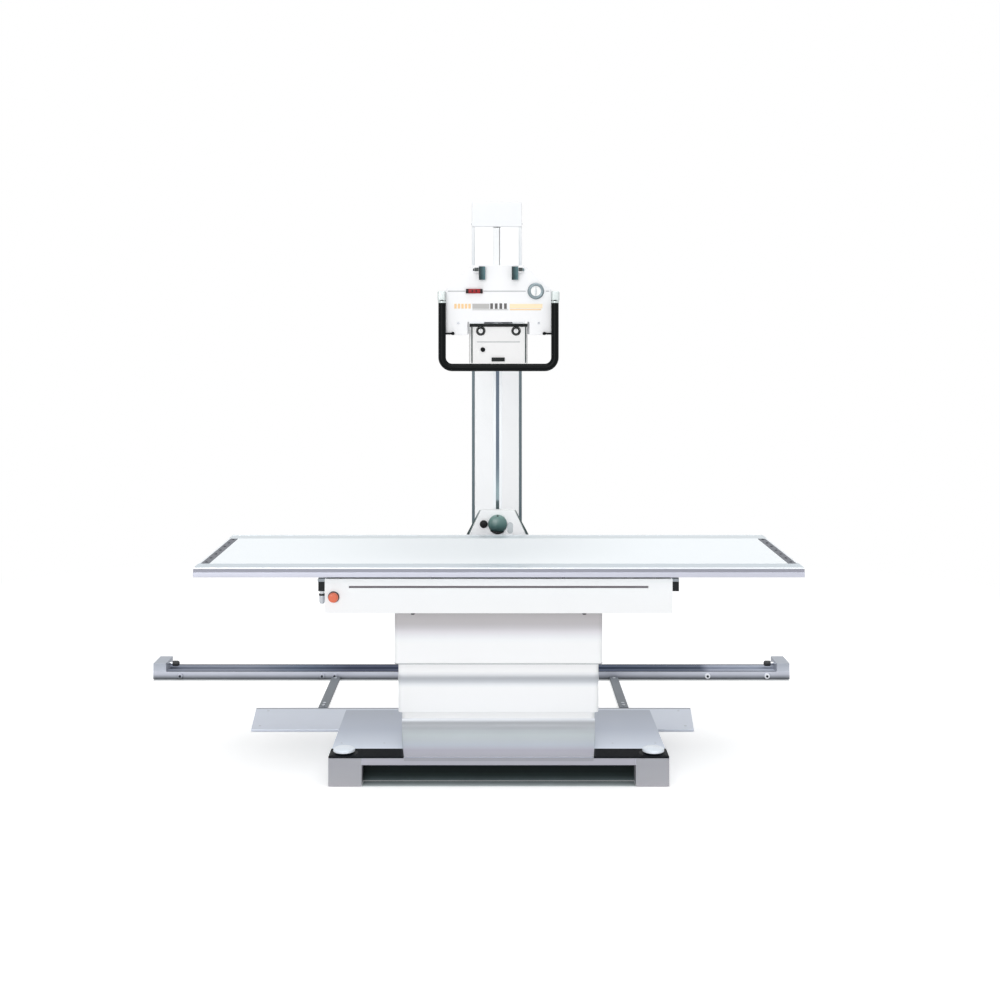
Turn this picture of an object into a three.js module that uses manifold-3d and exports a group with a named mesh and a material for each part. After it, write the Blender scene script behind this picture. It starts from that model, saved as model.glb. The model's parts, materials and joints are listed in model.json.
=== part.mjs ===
// Radiography table with a lifting pedestal, a four-way floating top and a tube column on a floor rail.
// Millimetres, +Z up, the table's long side along X, the operator in front at -Y.
// Every group is drawn from the table's centre line; the last lines set the origin under the whole object.
import * as THREE from 'three';
import { mergeVertices } from 'three/addons/utils/BufferGeometryUtils.js';
import Module from 'manifold-3d';

const wasm = await Module();
wasm.setup();

// Clearances and mesh fineness
const GAP = 0.3;
const WELD = 1e-4;
const SIDES = 32;
const KNOB_SIDES = 24;
const ARC_STEPS = 5;
const CUT_PAST = 5;

// Patient top
const TOP_LENGTH = 2200;
const TOP_WIDTH = 800;
const TOP_HEIGHT = 800;
const TOP_PANEL_THICK = 24;
const EDGE_RAIL_WIDTH = 28;
const EDGE_FLANGE_WIDTH = 95;
const EDGE_RAIL_HEIGHT = 34;
const EDGE_GROOVE_DROP = 10;
const EDGE_GROOVE_HEIGHT = 12;
const EDGE_GROOVE_DEPTH = 4;
const END_STRIP_WIDTH = 40;

// Float frame between the top and the table frame
const FLOAT_HEIGHT = 39.4;
const FLOAT_RAIL_WIDTH = 30;
const FLOAT_RAIL_SPAN = 400;
const FLOAT_RAIL_OVERHANG = 3;
const CROSSBAR_HEIGHT = 14;
const CROSSBAR_LENGTH = 480;

// Table frame
const FRAME_LENGTH = 1284;
const FRAME_WIDTH = 522;
const FRAME_HEIGHT = 127;
const SHEET = 4;
const SLOT_LENGTH = 1106;
const SLOT_HEIGHT = 8;
const SLOT_DROP = 30;
const GUIDE_WIDTH = 25;
const GUIDE_HEIGHT = 48;
const GUIDE_LENGTH = 500;
const BUCKY_RUNNER_WIDTH = 20;
const BUCKY_RUNNER_HEIGHT = 20;
const BUCKY_RUNNER_SPAN = 300;
const BUCKY_LENGTH = 520;
const BUCKY_WIDTH = 440;
const BUCKY_HEIGHT = 57;

// Emergency stop on the table frame, and the lateral lock knob under its left guide
const STOP_RADIUS = 18.5;
const STOP_STEM_RADIUS = 8.2;
const STOP_CAP_DEPTH = 14;
const STOP_TRAVEL = 6;
const STOP_FROM_END = 33;
const STOP_DROP = 67;
const LOCK_RADIUS = 11.3;
const LOCK_LENGTH = 48;
const LOCK_NECK_RADIUS = 8.5;
const LOCK_NECK_LENGTH = 10;
const LOCK_FROM_FRONT = 26;

// Pedestal covers and the lift inside them
const UPPER_COVER_LENGTH = 782;
const UPPER_COVER_DEPTH = 344;
const UPPER_COVER_HEIGHT = 208;
const COVER_CORNER = 18;
const COVER_CLEARANCE = 9.5;
const COVER_LIP_HEIGHT = 12;
const MIDDLE_COVER_BOTTOM = 215;
const MIDDLE_COVER_HEIGHT = 285;
const SKIRT_HEIGHT = 225;
const LIFT_POST_LENGTH = 200;
const LIFT_POST_DEPTH = 160;
const LIFT_POST_WALL = 10;
const LIFT_POST_CORNER = 10.3;
const LIFT_POST_HEIGHT = 395;
const LIFT_RAM_LENGTH = 310;

// Base
const BASE_LENGTH = 1236;
const BASE_FRONT = 356;
const BASE_BACK = 284;
const DECK_THICK = 28;
const FOOT_HEIGHT = 77;
const FOOT_WIDTH = 121;
const TOE_BOARD_SET_BACK = 60;
const TOE_BOARD_THICK = 6;
const TOE_BOARD_FLOOR_GAP = 3;
const APRON_FRONT_LENGTH = 688;
const APRON_BACK_LENGTH = 728;
const APRON_RISE = 84;
const APRON_LIP = 4;
const APRON_SET_BACK = 4;
const APRON_STEPS = 10;
const STRIP_DEPTH = 96;
const STRIP_THICK = 4;

// Foot switches
const SWITCH_FROM_CENTRE = 565;
const SWITCH_FROM_FRONT = 46;
const SWITCH_RADIUS = 39.5;
const SWITCH_HEIGHT = 17;
const SWITCH_RIM = 4;
const SWITCH_WALL = 5;
const SWITCH_SEAT_HEIGHT = 6;
const SWITCH_TRAVEL = 5;
const SWITCH_ARC_STEPS = 6;

// Floor plate, tie bars and rail
const PLATE_OFFSET = -104;
const PLATE_FRONT_LENGTH = 1820;
const PLATE_BACK_LENGTH = 1884;
const PLATE_DEPTH = 330;
const PLATE_TONGUE_LENGTH = 1200;
const PLATE_TONGUE_DEPTH = 57;
const PLATE_THICK = 10;
const TIE_SPAN = 1308;
const TIE_WIDTH = 39;
const TIE_THICK = 12;
const TABLE_TO_RAIL = 1285;
const RAIL_OFFSET = -120;
const RAIL_LENGTH = 3000;
const RAIL_WIDTH = 150;
const RAIL_HEIGHT = 35;
const RAIL_GROOVE_WIDTH = 44;
const RAIL_GROOVE_DEPTH = 15;
const RAIL_STOP_LENGTH = 60;
const RAIL_STOP_HEIGHT = 74;
const RAIL_STOP_DEPTH = 148;
const BUMPER_RADIUS = 13;
const BUMPER_LENGTH = 32;
const BUMPER_STEM_RADIUS = 6;
const BUMPER_STEM_LENGTH = 15;
const BUMPER_HEIGHT = 57;

// Column
const CARRIAGE_LENGTH = 257;
const CARRIAGE_DEPTH = 190;
const CARRIAGE_TOP = 134;
const TONGUE_LENGTH = 200;
const TONGUE_FLOOR_GAP = 1;
const COLUMN_WIDTH = 236;
const COLUMN_DEPTH = 170;
const COLUMN_WALL = 8;
const COLUMN_SLOT = 32;
const COLUMN_TOP = 2250;
const CAP_HEIGHT = 118;
const BRAKE_KNOB_RADIUS = 20;
const BRAKE_KNOB_LENGTH = 28;
const BRAKE_KNOB_HEIGHT = 104;

// Counterbalance inside the column
const PULLEY_RADIUS = 46;
const PULLEY_GROOVE_RADIUS = 42;
const PULLEY_WIDTH = 16;
const PULLEY_GROOVE_FLOOR = 8;
const PULLEY_SHAFT_RADIUS = 9;
const PULLEY_DROP = 66;
const CABLE_RADIUS = 2.5;
const CABLE_SIDES = 8;
const CABLE_STEPS = 40;
const CABLE_SEAT_GAP = 0.8;
const WEIGHT_HEIGHT = 413;
const WEIGHT_BOTTOM = 962;
const WEIGHT_FRONT_OFFSET = 20;

// Arm and its carriage on the column
const ARM_HEIGHT = 1778;
const ARM_RADIUS = 45;
const ARM_BORE_RADIUS = 37;
const ARM_FLANGE_RADIUS = 62;
const ARM_FLANGE_THICK = 6;
const ARM_PLATE_WIDTH = 260;
const ARM_PLATE_HEIGHT = 300;
const ARM_PLATE_THICK = 60;
const ARM_BOSS_RADIUS = 75;
const ARM_BOSS_LENGTH = 60;
const ARM_SEAT_DEPTH = 40;
const SLIDER_WIDTH = 120;
const SLIDER_DEPTH = 41.7;
const SLIDER_HEIGHT = 200;

// Tomography rod and fulcrum
const ROD_WIDTH = 37;
const ROD_THICK = 10;
const ROD_PAST_FULCRUM = 165;
const ROD_CLEAR_OF_ARM = 5;
const ROD_BEHIND_FULCRUM = 4;
const COLLAR_RADIUS = 70;
const COLLAR_LENGTH = 30;
const COLLAR_SET_BACK = 4;
const FULCRUM_FRONT = 528;
const FULCRUM_THICK = 24;
const FULCRUM_RISE = 88;
const FULCRUM_TOP_WIDTH = 142;
const FULCRUM_WIDTH = 247;
const FULCRUM_WAIST_DROP = 20;
const FULCRUM_SHOULDER_DROP = 40;
const FULCRUM_ARM_WIDTH = 120;
const FULCRUM_ARM_RISE = 31;
const FULCRUM_ARM_HEIGHT = 50;
const FULCRUM_KNOB_RADIUS = 40;
const FULCRUM_KNOB_LENGTH = 24;
const FULCRUM_KNOB_RISE = 28;

// Tube head, measured from the arm's axis
const TUBE_RADIUS = 72;
const TUBE_BARREL = 190;
const TUBE_END_RADIUS = 45;
const TUBE_LENGTH = 330;
const PORT_RADIUS = 55;
const PORT_ROOT = 40;
const SOCKET_FROM_CENTRE = 130;
const SOCKET_DROP = 8;
const SOCKET_RADIUS = 24;
const SOCKET_ROOT = 30;
const SOCKET_PROUD = 35;
const YOKE_WIDTH = 180;
const YOKE_HEIGHT = 120;
const YOKE_FRONT = 40;
const YOKE_BACK = 92;
const HEAD_FRONT = 170;
const HEAD_BACK = 130;
const HEAD_WALL = 6;
const SEAM_RISE = 22;
const HOOD_WIDTH = 410;
const HOOD_CROWN_WIDTH = 194;
const HOOD_HEIGHT = 97;
const LOWER_COVER_WIDTH = 395;
const LOWER_COVER_HEIGHT = 165;
const NOTCH_WIDTH = 232;
const NOTCH_HEIGHT = 49;

// Controls on the head
const DIAL_FROM_CENTRE = 140;
const DIAL_RADIUS = 31;
const DIAL_THICK = 8;
const NEEDLE_LENGTH = 44;
const NEEDLE_WIDTH = 7;
const NEEDLE_THICK = 3;
const BAR_FROM_CENTRE = 91;
const BAR_LENGTH = 62;
const BAR_HEIGHT = 16;
const BAR_PROUD = 10;
const BAR_INSIDE = 4;
const LEVER_FROM_CENTRE = 61.5;
const LEVER_WIDTH = 24;
const LEVER_HEIGHT = 50;
const LEVER_THICK = 12;
const LEVER_TOP_RISE = 12;
const LEVER_PIVOT_PROUD = 15;
const LEVER_PIVOT_RISE = 102;
const LEVER_STUD_RADIUS = 5;
const LEVER_STUD_LENGTH = 22;
const LUG_WIDTH = 16;
const LUG_SIDE_GAP = 1;
const LUG_RADIUS = 11;
const HANDLE_SPAN = 422;
const HANDLE_RADIUS = 14;
const HANDLE_PROUD = 20;
const HANDLE_DROP = 264;
const HANDLE_TOP_RISE = 7;
const HANDLE_CORNER = 45;
const HANDLE_SIDES = 12;
const HANDLE_STEPS = 48;
const HANDLE_SOCKET_WIDTH = 30;
const HANDLE_SOCKET_HEIGHT = 38;
const HANDLE_SOCKET_DEPTH = 56;

// Collimator
const COLLIMATOR_WIDTH = 219;
const COLLIMATOR_DEPTH = 216;
const COLLIMATOR_HEIGHT = 153;
const COLLIMATOR_DROP = 100;
const COLLIMATOR_CORNER = 6;
const FIELD_KNOB_FROM_CENTRE = 67;
const FIELD_KNOB_DROP = 28;
const FIELD_KNOB_RADIUS = 12.5;
const FIELD_KNOB_LENGTH = 14;
const LAMP_FROM_CENTRE = 59;
const LAMP_DROP = 99;
const LAMP_RADIUS = 8.5;
const LAMP_PROUD = 4;
const LAMP_LENGTH = 10;
const LAMP_TRAVEL = 2.5;

// Levels and faces that several pieces share
const PANEL_BOTTOM = TOP_HEIGHT - TOP_PANEL_THICK;
const FLOAT_TOP = PANEL_BOTTOM - GAP;
const FLOAT_BOTTOM = FLOAT_TOP - FLOAT_HEIGHT;
const FRAME_TOP = FLOAT_BOTTOM - GAP;
const FRAME_BOTTOM = FRAME_TOP - FRAME_HEIGHT;
const FRAME_FACE = FRAME_WIDTH / 2;
const DECK_TOP = FOOT_HEIGHT + GAP + DECK_THICK;
const STRIP_TOP = DECK_TOP + GAP + STRIP_THICK;
const MIDDLE_COVER_LENGTH = UPPER_COVER_LENGTH - 2 * (SHEET + COVER_CLEARANCE);
const MIDDLE_COVER_DEPTH = UPPER_COVER_DEPTH - 2 * (SHEET + COVER_CLEARANCE);
const SKIRT_LENGTH = MIDDLE_COVER_LENGTH - 2 * (SHEET + COVER_CLEARANCE);
const SKIRT_DEPTH = MIDDLE_COVER_DEPTH - 2 * (SHEET + COVER_CLEARANCE);
const PLATE_FRONT = BASE_BACK + GAP;
const PLATE_BACK = PLATE_FRONT + PLATE_TONGUE_DEPTH + PLATE_DEPTH;
const COLUMN_BASE = CARRIAGE_TOP + GAP;
const CAP_BOTTOM = COLUMN_TOP - CAP_HEIGHT;
const PULLEY_HEIGHT = COLUMN_TOP - PULLEY_DROP;
const CABLE_OFFSET = PULLEY_GROOVE_RADIUS + CABLE_SEAT_GAP + CABLE_RADIUS;
const COLUMN_INSIDE_WIDTH = COLUMN_WIDTH - 2 * COLUMN_WALL;
const COLUMN_INSIDE_FACE = COLUMN_DEPTH / 2 - COLUMN_WALL;
const ARM_PLATE_BACK = -COLUMN_DEPTH / 2 - GAP;
const ARM_PLATE_FACE = ARM_PLATE_BACK - ARM_PLATE_THICK;
const ARM_BORE_END = ARM_PLATE_FACE + ARM_SEAT_DEPTH;
const FULCRUM_BACK = FULCRUM_FRONT + FULCRUM_THICK;
const FULCRUM_TOP = TOP_HEIGHT + FULCRUM_RISE;
const FULCRUM_KNOB_HEIGHT = TOP_HEIGHT + FULCRUM_KNOB_RISE;

// Finishes
const WHITE = { color: 0xf8f9fa, roughness: 0.35, metalness: 0 };
const PALE_LAMINATE = { color: 0xf1faff, roughness: 0.3, metalness: 0 };
const PALE_METAL = { color: 0xd5d9dd, roughness: 0.35, metalness: 0.6 };
const GREY_METAL = { color: 0xa5abb7, roughness: 0.4, metalness: 0.6 };
const GREY_PAINT = { color: 0xa0a5ad, roughness: 0.5, metalness: 0.2 };
const DARK_STEEL = { color: 0x5a5e63, roughness: 0.4, metalness: 0.9 };
const BLACK = { color: 0x15171a, roughness: 0.4, metalness: 0 };
const TEAL = { color: 0x1f4a48, roughness: 0.4, metalness: 0 };
const ORANGE_RED = { color: 0xd2492a, roughness: 0.35, metalness: 0 };
const DARK_RED = { color: 0x8e1420, roughness: 0.35, metalness: 0 };

const X_AXIS = new THREE.Vector3(1, 0, 0);
const Y_AXIS = new THREE.Vector3(0, 1, 0);
const Z_AXIS = new THREE.Vector3(0, 0, 1);
const TOWARDS_FRONT = new THREE.Vector3(0, -1, 0);
const SIDE_NAMES = { left: -1, right: 1 };

// The span of a size about a middle
function about(middle, size) {
  return [middle - size / 2, middle + size / 2];
}

// The radius of a faceted bore that leaves the named gap round a faceted shaft
function boreRound(shaftRadius, sides = SIDES) {
  return (shaftRadius + GAP) / Math.cos(Math.PI / sides);
}

// One welded skin whose faces point out
function skin(geometry) {
  const bare = new THREE.BufferGeometry();
  bare.setAttribute('position', geometry.getAttribute('position').clone());
  if (geometry.index) bare.setIndex(geometry.index.clone());
  const welded = mergeVertices(bare, WELD);
  const points = welded.getAttribute('position');
  const [a, b, c] = [0, 1, 2].map(() => new THREE.Vector3());
  const faces = [];
  let volume = 0;
  for (let i = 0; i < welded.index.count; i += 3) {
    const face = [0, 1, 2].map((k) => welded.index.getX(i + k));
    if (new Set(face).size < face.length) continue;
    [a, b, c].forEach((corner, k) => corner.fromBufferAttribute(points, face[k]));
    volume += a.dot(b.cross(c));
    faces.push(face);
  }
  welded.setIndex(faces.flatMap(([i, j, k]) => (volume < 0 ? [i, k, j] : [i, j, k])));
  return welded;
}

function toSolid(geometry) {
  const welded = skin(geometry);
  const vertProperties = new Float32Array(welded.getAttribute('position').array);
  const triVerts = new Uint32Array(welded.index.array);
  return new wasm.Manifold(new wasm.Mesh({ numProp: 3, vertProperties, triVerts }));
}

function fromSolid(solid) {
  const { vertProperties, triVerts } = solid.getMesh();
  const geometry = new THREE.BufferGeometry();
  geometry.setAttribute('position', new THREE.BufferAttribute(vertProperties, 3));
  geometry.setIndex(new THREE.BufferAttribute(triVerts, 1));
  return geometry;
}

function join(...geometries) {
  return fromSolid(geometries.map(toSolid).reduce((whole, piece) => whole.add(piece)));
}

function cut(geometry, ...tools) {
  return fromSolid(tools.map(toSolid).reduce((whole, tool) => whole.subtract(tool), toSolid(geometry)));
}

function mirrored(geometry) {
  return geometry.clone().scale(-1, 1, 1);
}

function slab([x0, x1], [y0, y1], [z0, z1]) {
  const geometry = new THREE.BoxGeometry(x1 - x0, y1 - y0, z1 - z0);
  return geometry.translate((x0 + x1) / 2, (y0 + y1) / 2, (z0 + z1) / 2);
}

function polygon(points) {
  return new THREE.Shape(points.map(([x, y]) => new THREE.Vector2(x, y)));
}

function roundedRect(width, height, corner) {
  const [x, y] = [width / 2 - corner, height / 2 - corner];
  const quarter = Math.PI / 2;
  const shape = new THREE.Shape();
  shape.absarc(x, y, corner, 0, quarter);
  shape.absarc(-x, y, corner, quarter, 2 * quarter);
  shape.absarc(-x, -y, corner, 2 * quarter, 3 * quarter);
  shape.absarc(x, -y, corner, 3 * quarter, 4 * quarter);
  return shape;
}

function extrude(shape, length) {
  return new THREE.ExtrudeGeometry(shape, { depth: length, bevelEnabled: false, curveSegments: ARC_STEPS });
}

// A profile in Y and Z pushed along X
function alongX(shape, [x0, x1]) {
  const turn = new THREE.Matrix4().makeBasis(Y_AXIS, Z_AXIS, X_AXIS);
  return extrude(shape, x1 - x0).applyMatrix4(turn).translate(x0, 0, 0);
}

// A profile in X and Z pushed along Y
function alongY(shape, [y0, y1]) {
  const turn = new THREE.Matrix4().makeBasis(X_AXIS, Z_AXIS, TOWARDS_FRONT);
  return extrude(shape, y1 - y0).applyMatrix4(turn).translate(0, y1, 0);
}

// A profile in X and Y pushed along Z
function alongZ(shape, [z0, z1]) {
  return extrude(shape, z1 - z0).translate(0, 0, z0);
}

// A profile of [radius, place along the axis] turned about a line parallel to an axis
function turned(axis, profile, [x, y, z], sides = SIDES) {
  const geometry = new THREE.LatheGeometry(profile.map(([r, s]) => new THREE.Vector2(r, s)), sides);
  if (axis === 'x') geometry.rotateZ(-Math.PI / 2);
  if (axis === 'z') geometry.rotateX(Math.PI / 2);
  return geometry.translate(x, y, z);
}

function rod(radius, [start, end]) {
  return [[0, start], [radius, start], [radius, end], [0, end]];
}

// A rectangular tube with rounded corners, open above and below
function sleeve(length, depth, corner, wall, span) {
  const [z0, z1] = span;
  const inner = roundedRect(length - 2 * wall, depth - 2 * wall, corner - wall);
  return cut(alongZ(roundedRect(length, depth, corner), span), alongZ(inner, [z0 - CUT_PAST, z1 + CUT_PAST]));
}

// A telescoping cover with a lip round its foot that runs on the cover inside it
function lipped(length, depth, [z0, z1]) {
  const inset = 2 * (SHEET + COVER_CLEARANCE - GAP);
  const body = alongZ(roundedRect(length, depth, COVER_CORNER), [z0, z1]);
  const inner = roundedRect(length - 2 * SHEET, depth - 2 * SHEET, COVER_CORNER - SHEET);
  const hollow = alongZ(inner, [z0 + COVER_LIP_HEIGHT, z1 + CUT_PAST]);
  const passage = alongZ(roundedRect(length - inset, depth - inset, COVER_CORNER + GAP), [z0 - CUT_PAST, z1]);
  return cut(body, hollow, passage);
}

function add(group, name, geometry, finish) {
  const mesh = new THREE.Mesh(skin(geometry), new THREE.MeshStandardMaterial(finish));
  mesh.name = name;
  mesh.geometry.computeVertexNormals();
  group.add(mesh);
}

// Base: deck on two feet, curved apron, black step strips, floor plate and tie bars
function makeBase() {
  const base = new THREE.Group();
  const depth = [-BASE_FRONT, BASE_BACK];
  const half = BASE_LENGTH / 2;
  const skirtFace = SKIRT_DEPTH / 2;
  const deck = slab(about(0, BASE_LENGTH), depth, [FOOT_HEIGHT + GAP, DECK_TOP]);
  const toeFace = -BASE_FRONT + TOE_BOARD_SET_BACK;
  const toeBoard = slab(about(0, BASE_LENGTH - 2 * (FOOT_WIDTH + GAP)), [toeFace, toeFace + TOE_BOARD_THICK],
    [TOE_BOARD_FLOOR_GAP, FOOT_HEIGHT + CUT_PAST]);
  add(base, 'base_deck', join(deck, toeBoard), GREY_METAL);
  for (const [side, sign] of Object.entries(SIDE_NAMES)) {
    const middle = sign * (half - FOOT_WIDTH / 2);
    add(base, `${side}_foot`, slab(about(middle, FOOT_WIDTH), depth, [0, FOOT_HEIGHT]), GREY_PAINT);
  }

  const skirtSpan = [DECK_TOP + GAP, DECK_TOP + GAP + SKIRT_HEIGHT];
  const skirt = sleeve(SKIRT_LENGTH, SKIRT_DEPTH, COVER_CORNER, SHEET, skirtSpan);
  add(base, 'base_skirt', skirt, WHITE);

  const apronBack = -skirtFace - GAP;
  const apronFront = -BASE_FRONT + APRON_SET_BACK;
  const apronFloor = DECK_TOP + GAP;
  const sweep = [apronBack - apronFront, APRON_RISE - APRON_LIP];
  const curve = [];
  for (let i = 0; i <= APRON_STEPS; i += 1) {
    const angle = (i / APRON_STEPS) * (Math.PI / 2);
    const rise = APRON_RISE - sweep[1] * Math.sin(angle);
    curve.push([apronFront + sweep[0] * Math.cos(angle), apronFloor + rise]);
  }
  const apron = polygon([[apronBack, apronFloor], ...curve, [apronFront, apronFloor]]);
  const flare = (APRON_BACK_LENGTH - APRON_FRONT_LENGTH) / sweep[0];
  const apronEdge = (y) => (APRON_FRONT_LENGTH + flare * (y - apronFront)) / 2;
  const apronSheet = alongX(apron, about(0, APRON_BACK_LENGTH));
  const corners = apronSheet.getAttribute('position');
  for (let i = 0; i < corners.count; i += 1) {
    corners.setX(i, Math.sign(corners.getX(i)) * apronEdge(corners.getY(i)));
  }
  add(base, 'front_apron', apronSheet, PALE_METAL);

  const seatRadius = SWITCH_RADIUS - SWITCH_WALL - GAP;
  const [stripFront, stripBack] = [-BASE_FRONT, -BASE_FRONT + STRIP_DEPTH];
  const stripShape = polygon([[apronEdge(stripFront) + GAP, stripFront], [half, stripFront],
    [half, stripBack], [apronEdge(stripBack) + GAP, stripBack]]);
  const strip = alongZ(stripShape, [DECK_TOP + GAP, STRIP_TOP]);
  const seatPlace = [SWITCH_FROM_CENTRE, -BASE_FRONT + SWITCH_FROM_FRONT, STRIP_TOP];
  const seat = turned('z', rod(seatRadius, [-STRIP_THICK / 2, SWITCH_SEAT_HEIGHT]), seatPlace, KNOB_SIDES);
  const stripWithSeat = join(strip, seat);
  add(base, 'left_step_strip', mirrored(stripWithSeat), BLACK);
  add(base, 'right_step_strip', stripWithSeat, BLACK);

  const postSpan = [DECK_TOP + GAP, DECK_TOP + GAP + LIFT_POST_HEIGHT];
  const post = sleeve(LIFT_POST_LENGTH, LIFT_POST_DEPTH, LIFT_POST_CORNER, LIFT_POST_WALL, postSpan);
  add(base, 'lift_post', post, GREY_METAL);

  const plateEdge = PLATE_BACK - PLATE_DEPTH;
  const [narrow, wide] = [PLATE_FRONT_LENGTH / 2, PLATE_BACK_LENGTH / 2];
  const tongue = PLATE_TONGUE_LENGTH / 2;
  const plate = polygon([[PLATE_OFFSET - narrow, plateEdge], [-tongue, plateEdge], [-tongue, PLATE_FRONT],
    [tongue, PLATE_FRONT], [tongue, plateEdge], [PLATE_OFFSET + narrow, plateEdge],
    [PLATE_OFFSET + wide, PLATE_BACK], [PLATE_OFFSET - wide, PLATE_BACK]]);
  add(base, 'floor_plate', alongZ(plate, [0, PLATE_THICK]), PALE_METAL);
  const tieSpan = [PLATE_BACK + GAP, TABLE_TO_RAIL - RAIL_WIDTH / 2 - GAP];
  for (const [side, sign] of Object.entries(SIDE_NAMES)) {
    const middle = PLATE_OFFSET + sign * TIE_SPAN / 2;
    add(base, `${side}_tie_bar`, slab(about(middle, TIE_WIDTH), tieSpan, [0, TIE_THICK]), GREY_METAL);
  }
  return base;
}

// Foot switches: domed caps that press down over their seats
function makeFootSwitches() {
  const switches = new THREE.Group();
  const bore = boreRound(SWITCH_RADIUS - SWITCH_WALL - GAP, KNOB_SIDES);
  const ceiling = SWITCH_SEAT_HEIGHT + SWITCH_TRAVEL + GAP;
  const floor = SWITCH_TRAVEL + GAP;
  const profile = [];
  for (let i = 0; i <= SWITCH_ARC_STEPS; i += 1) {
    const angle = (i / SWITCH_ARC_STEPS) * (Math.PI / 2);
    const rise = SWITCH_HEIGHT - SWITCH_RIM;
    profile.push([SWITCH_RADIUS * Math.sin(angle), floor + SWITCH_RIM + rise * Math.cos(angle)]);
  }
  profile.push([SWITCH_RADIUS, floor], [bore, floor], [bore, ceiling], [0, ceiling]);
  for (const [side, sign] of Object.entries(SIDE_NAMES)) {
    const place = [sign * SWITCH_FROM_CENTRE, -BASE_FRONT + SWITCH_FROM_FRONT, STRIP_TOP];
    add(switches, `${side}_foot_switch`, turned('z', profile, place, KNOB_SIDES), WHITE);
  }
  return switches;
}

// Pedestal covers that telescope, and the lift ram inside them
function makePedestal() {
  const pedestal = new THREE.Group();
  const middleSpan = [MIDDLE_COVER_BOTTOM, MIDDLE_COVER_BOTTOM + MIDDLE_COVER_HEIGHT];
  const middle = lipped(MIDDLE_COVER_LENGTH, MIDDLE_COVER_DEPTH, middleSpan);
  add(pedestal, 'middle_cover', middle, WHITE);
  const hang = FRAME_BOTTOM - GAP;
  const upperSpan = [hang - UPPER_COVER_HEIGHT, hang];
  add(pedestal, 'upper_cover', lipped(UPPER_COVER_LENGTH, UPPER_COVER_DEPTH, upperSpan), WHITE);
  const ramLength = LIFT_POST_LENGTH - 2 * (LIFT_POST_WALL + GAP);
  const ramDepth = LIFT_POST_DEPTH - 2 * (LIFT_POST_WALL + GAP);
  const ram = slab(about(0, ramLength), about(0, ramDepth), [hang - LIFT_RAM_LENGTH, hang]);
  add(pedestal, 'lift_ram', ram, PALE_METAL);
  return pedestal;
}

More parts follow.
